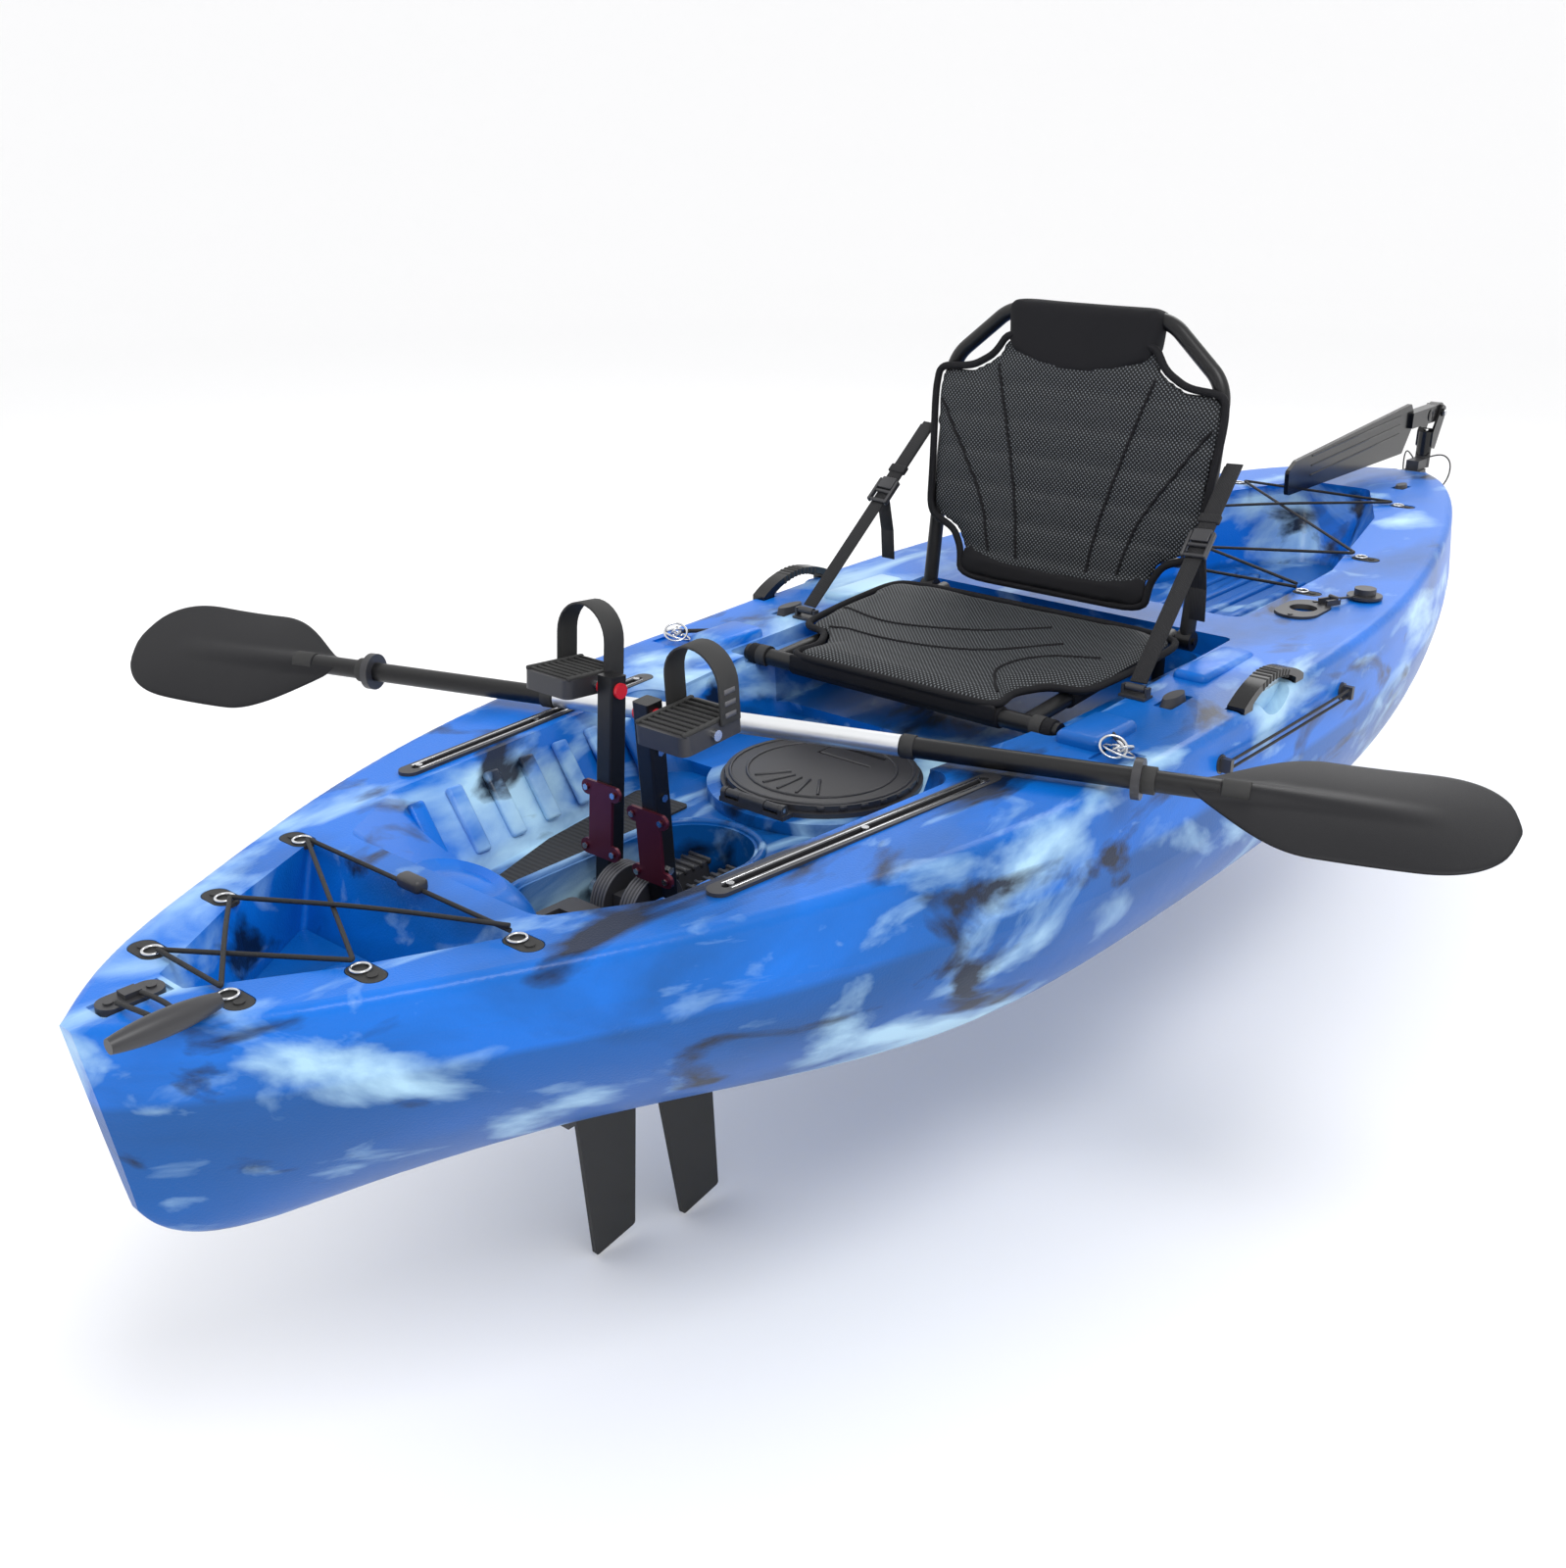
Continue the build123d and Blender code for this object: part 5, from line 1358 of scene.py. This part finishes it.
            frame.append(
                rounded_box(
                    "tongue", spot + run * 0.014 + across * 0.006, (0.020, 0.026, 0.004), 0.0015, turn
                )
            )
            eye = round_bar("eye", start - Vector((0.013, 0, 0)), start + Vector((0.013, 0, 0)), 0.0054, 20)
            frame.append(eye)
            place(join(f"strap_buckle_{side.word}", frame), BLACK_PLASTIC, body, "black_plastic")

    def build(self) -> None:
        """Makes the whole seat."""
        self.back()
        self.base()
        self.straps()
        LOG.info("seat sewn")


# ---------------------------------------------------------------- drive


@dataclass
class Drive:
    """The looks of the pedal drive: treads, straps, screws, cables and fins."""

    spread: float = 0.046
    splay: float = radians(4)
    arm: float = 0.246

    def turned(self, piece: bpy.types.Object, side: Side) -> bpy.types.Object:
        """Turns a piece made on an upright arm to the arm's rest lean.

        Args:
            piece: The piece.
            side: Which arm.

        Returns:
            The piece, turned.
        """
        centre = Matrix.Translation((0, DRIVE_Y, PIVOT_Z))
        piece.data.transform(centre @ Matrix.Rotation(side.value * self.splay, 4, "X") @ centre.inverted())
        return piece

    def pedal(self, side: Side) -> None:
        """Makes one pedal's tread, its side edges and its slotted strap.

        Args:
            side: Which pedal.
        """
        body = Body.PORT_PEDAL if side is Side.PORT else Body.STARBOARD_PEDAL
        x = side.value * 0.106
        z = PIVOT_Z + self.arm
        treads = []
        for step in range(9):
            y = DRIVE_Y - 0.038 + step * 0.0095
            treads.append(
                rounded_box("tread", (x, y, z + 0.0115), (0.064, 0.0042, 0.004), 0.001, segments=1)
            )
        for edge in (-1, 1):
            treads.append(
                rounded_box("edge", (x + edge * 0.0335, DRIVE_Y, z + 0.0118), (0.006, 0.086, 0.0055), 0.002)
            )
        tread = self.turned(join(f"pedal_tread_{side.word}", treads), side)
        place(tread, BLACK_RUBBER, body, "black_plastic")
        half, top = 0.0389, z + 0.011 + 0.074
        spring = top - half
        strap_y = DRIVE_Y + 0.023
        route = [(x - half, spring - 0.040), (x - half, spring)]
        route += [(x - half * cos(pi * k / 16), spring + half * sin(pi * k / 16)) for k in range(1, 16)]
        route += [(x + half, spring), (x + half, spring - 0.040)]
        data = bpy.data.meshes.new("strap")
        spots = [Vector((px, strap_y - 0.015, pz)) for px, pz in route]
        data.from_pydata(
            [*spots, *[spot + Vector((0, 0.030, 0)) for spot in spots]],
            [],
            [(k, k + 1, k + 1 + len(spots), k + len(spots)) for k in range(len(spots) - 1)],
        )
        strap = bpy.data.objects.new(f"pedal_loop_{side.word}", data)
        bpy.context.collection.objects.link(strap)
        modify(strap, "SOLIDIFY", thickness=0.003, offset=0)
        modify(strap, "BEVEL", width=0.0009, segments=2, limit_method="ANGLE", angle_limit=radians(50))
        smooth(strap, 50)
        place(self.turned(strap, side), BLACK_RUBBER, body, "black_rubber")
        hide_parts(f"pedal_strap_{side.word}")
        outer = x + side.value * (half + 0.0008)
        holes = []
        for step in range(3):
            holes.append(
                rounded_box(
                    "slot", (outer, strap_y, spring - 0.030 + step * 0.013), (0.0032, 0.017, 0.006), 0.001,
                    segments=1
                )
            )
        place(self.turned(join(f"pedal_slots_{side.word}", holes), side), CABLE, body, "bright_steel")

    def arm_details(self, side: Side) -> None:
        """Adds the arm's screws and bolts, and the grooves round its drum.

        Args:
            side: Which arm.
        """
        body = Body.PORT_ARM if side is Side.PORT else Body.STARBOARD_ARM
        x = side.value * self.spread
        screws = []
        for height in (0.056, 0.128):
            for step in (-0.022, 0.022):
                spot = Vector((x + step, DRIVE_Y - 0.0178, PIVOT_Z + height))
                screws.append(round_bar("screw", spot, spot - Vector((0, 0.0016, 0)), 0.0040, 6))
        for height in (0.060, 0.150, 0.205):
            spot = Vector((x + side.value * 0.0122, DRIVE_Y, PIVOT_Z + height))
            screws.append(round_bar("bolt", spot, spot + Vector((side.value * 0.003, 0, 0)), 0.0048, 6))
        place(self.turned(join(f"arm_screws_{side.word}", screws), side), STEEL, body, "bright_steel")
        rings = []
        for step in (0.0135, 0.0185, 0.0235, 0.0285, 0.0325):
            rings.append(ring("groove", (side.value * step, DRIVE_Y, PIVOT_Z), 0.042, 0.0013, (1, 0, 0)))
        place(self.turned(join(f"drum_cable_{side.word}", rings), side), CABLE, body, "bright_steel")

    def housings(self) -> None:
        """Adds the fins, the seat rim and the yellow tag of the drive's housings."""
        fins = []
        for side in Side:
            for step in range(6):
                y = DRIVE_Y + 0.068 + step * 0.014
                fins.append(
                    rounded_box(
                        "fin", (side.value * 0.031, y, 0.196), (0.036, 0.005, 0.008), 0.0015, segments=1
                    )
                )
        for step in range(5):
            fins.append(
                rounded_box(
                    "fin", (0, DRIVE_Y - 0.1445, 0.150 + step * 0.012), (0.044, 0.005, 0.005), 0.001,
                    segments=1
                )
            )
        place(join("housing_fins", fins), BLACK_PLASTIC, Body.HULL, "black_plastic")
        tag = rounded_box("yellow_tag", (0.0, DRIVE_Y - 0.118, 0.2155), (0.020, 0.018, 0.004), 0.0015)
        place(tag, YELLOW, Body.HULL, "maroon_plate")
        rim = [
            (
                0.084 * cos(a),
                DRIVE_Y + (0.0925 if sin(a) > 0 else -0.0925) + 0.084 * sin(a),
                0.2310,
            )
            for a in (2 * pi * k / 48 for k in range(49))
        ]
        lip = as_mesh(line("drive_rim", rim, 0.0055, False))
        place(lip, HULL_BLUE, Body.HULL, "blue_hull")

    def build(self) -> None:
        """Dresses the whole drive."""
        for side in Side:
            self.pedal(side)
            self.arm_details(side)
        self.housings()
        LOG.info("drive dressed")


# ---------------------------------------------------------------- rudder and paddle


@dataclass
class Rudder:
    """The rudder's ribs and bolts."""

    pivot_y: float = 1.512
    pivot_z: float = 0.462

    def build(self) -> None:
        """Adds the blade's stiffening ribs, the pivot's bolt heads and the yoke's bolts."""
        ribs = []
        for side in Side:
            for rise in (0.018, -0.002, -0.022):
                start = Vector((side.value * 0.004, self.pivot_y - 0.20, self.pivot_z + rise * 0.9))
                end = Vector((side.value * 0.004, self.pivot_y - 0.62, self.pivot_z + rise * 0.9 - 0.020))
                ribs.append(round_bar("rib", start, end, 0.0016, 8))
            disc = Vector((side.value * 0.0105, self.pivot_y - 0.055, self.pivot_z))
            ribs.append(
                round_bar("boss", disc, disc + Vector((side.value * 0.002, 0, 0)), 0.012, 24, 0.0006)
            )
        place(join("rudder_ribs", ribs), GLOSS_BLACK, Body.RUDDER, "black_plastic")
        bolts = []
        for side in Side:
            spot = Vector((side.value * 0.0198, self.pivot_y, self.pivot_z))
            bolts.append(round_bar("bolt", spot, spot + Vector((side.value * 0.003, 0, 0)), 0.0062, 6))
        place(join("rudder_bolts", bolts), STEEL, Body.RUDDER_HEAD, "bright_steel")
        LOG.info("rudder dressed")


@dataclass
class Paddle:
    """The paddle's dished blades and its ferrules."""

    middle: Vector = field(default_factory=lambda: Vector((-0.050, -0.663, 0.352)))
    turn: float = radians(18.4)
    half: float = 0.903
    blade: float = 0.345
    width: float = 0.168

    def blade_piece(self, side: Side) -> None:
        """Makes one blade from a grid that is shaped to a dished leaf.

        Args:
            side: Which blade.
        """
        deselect()
        bpy.ops.mesh.primitive_grid_add(x_subdivisions=40, y_subdivisions=20, size=1)
        piece = bpy.context.object
        piece.name = f"paddle_blade_{side.word}_dished"
        tilt = radians(17 if side is Side.PORT else 32)
        for vertex in piece.data.vertices:
            along, across = vertex.co.x + 0.5, vertex.co.y * 2
            root = min(1.0, along / 0.42)
            leaf = 0.075 + 0.925 * sin(root * pi / 2) ** 1.25
            tip = max(0.0, (along - 0.70) / 0.30)
            leaf *= max(0.0, 1 - tip ** 2.6) ** 0.5
            half = self.width / 2 * max(leaf, 0.02)
            ridge = 0.0105 * max(0.0, 1 - along / 0.80) * max(0.0, 1 - (abs(across) * half / 0.016) ** 2)
            dish = -0.010 * sin(pi * min(1.0, along)) * (across ** 2) + ridge
            vertex.co = (self.half - self.blade * (1 - along), across * half + 0.004 * sin(pi * along), dish)
        modify(piece, "SOLIDIFY", thickness=0.0035, offset=0)
        modify(piece, "SUBSURF", levels=1, render_levels=1)
        heading = self.turn if side is Side.PORT else self.turn + pi
        lean = tilt if side is Side.PORT else -tilt
        piece.data.transform(
            Matrix.Translation(self.middle)
            @ Matrix.Rotation(heading, 4, "Z")
            @ Matrix.Rotation(lean, 4, "X")
        )
        smooth(piece, 60)
        place(piece, BLADE_BLACK, Body.PADDLE, "black_plastic")
        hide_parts(f"paddle_blade_{side.word}")

    def build(self) -> None:
        """Makes both blades and the ferrules between the tubes."""
        way = Vector((cos(self.turn), sin(self.turn), 0))
        ferrules = []
        for side in Side:
            self.blade_piece(side)
            for at, radius, length in (
                (0.232, 0.0146, 0.016), (0.600, 0.0140, 0.030), (0.508, 0.0160, 0.020)
            ):
                start = self.middle + way * side.value * at
                ferrules.append(
                    round_bar("ferrule", start, start + way * side.value * length, radius, 28, 0.001)
                )
        place(join("paddle_ferrules", ferrules), BLACK_RUBBER, Body.PADDLE, "black_plastic")
        LOG.info("paddle dressed")


def main() -> None:
    """Builds every group in order."""
    logging.basicConfig(level=logging.INFO)
    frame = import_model()
    start = [list(corner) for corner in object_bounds()]
    Studio().build(start[0][2])
    DeckCords().build()
    groups: Iterable = (
        HullDressing(nodes=frame["nodes"]), SideHandles(), Hatch(), Seat(), Drive(), Rudder(), Paddle()
    )
    for group in groups:
        group.build()


if __name__ == "__main__":
    main()
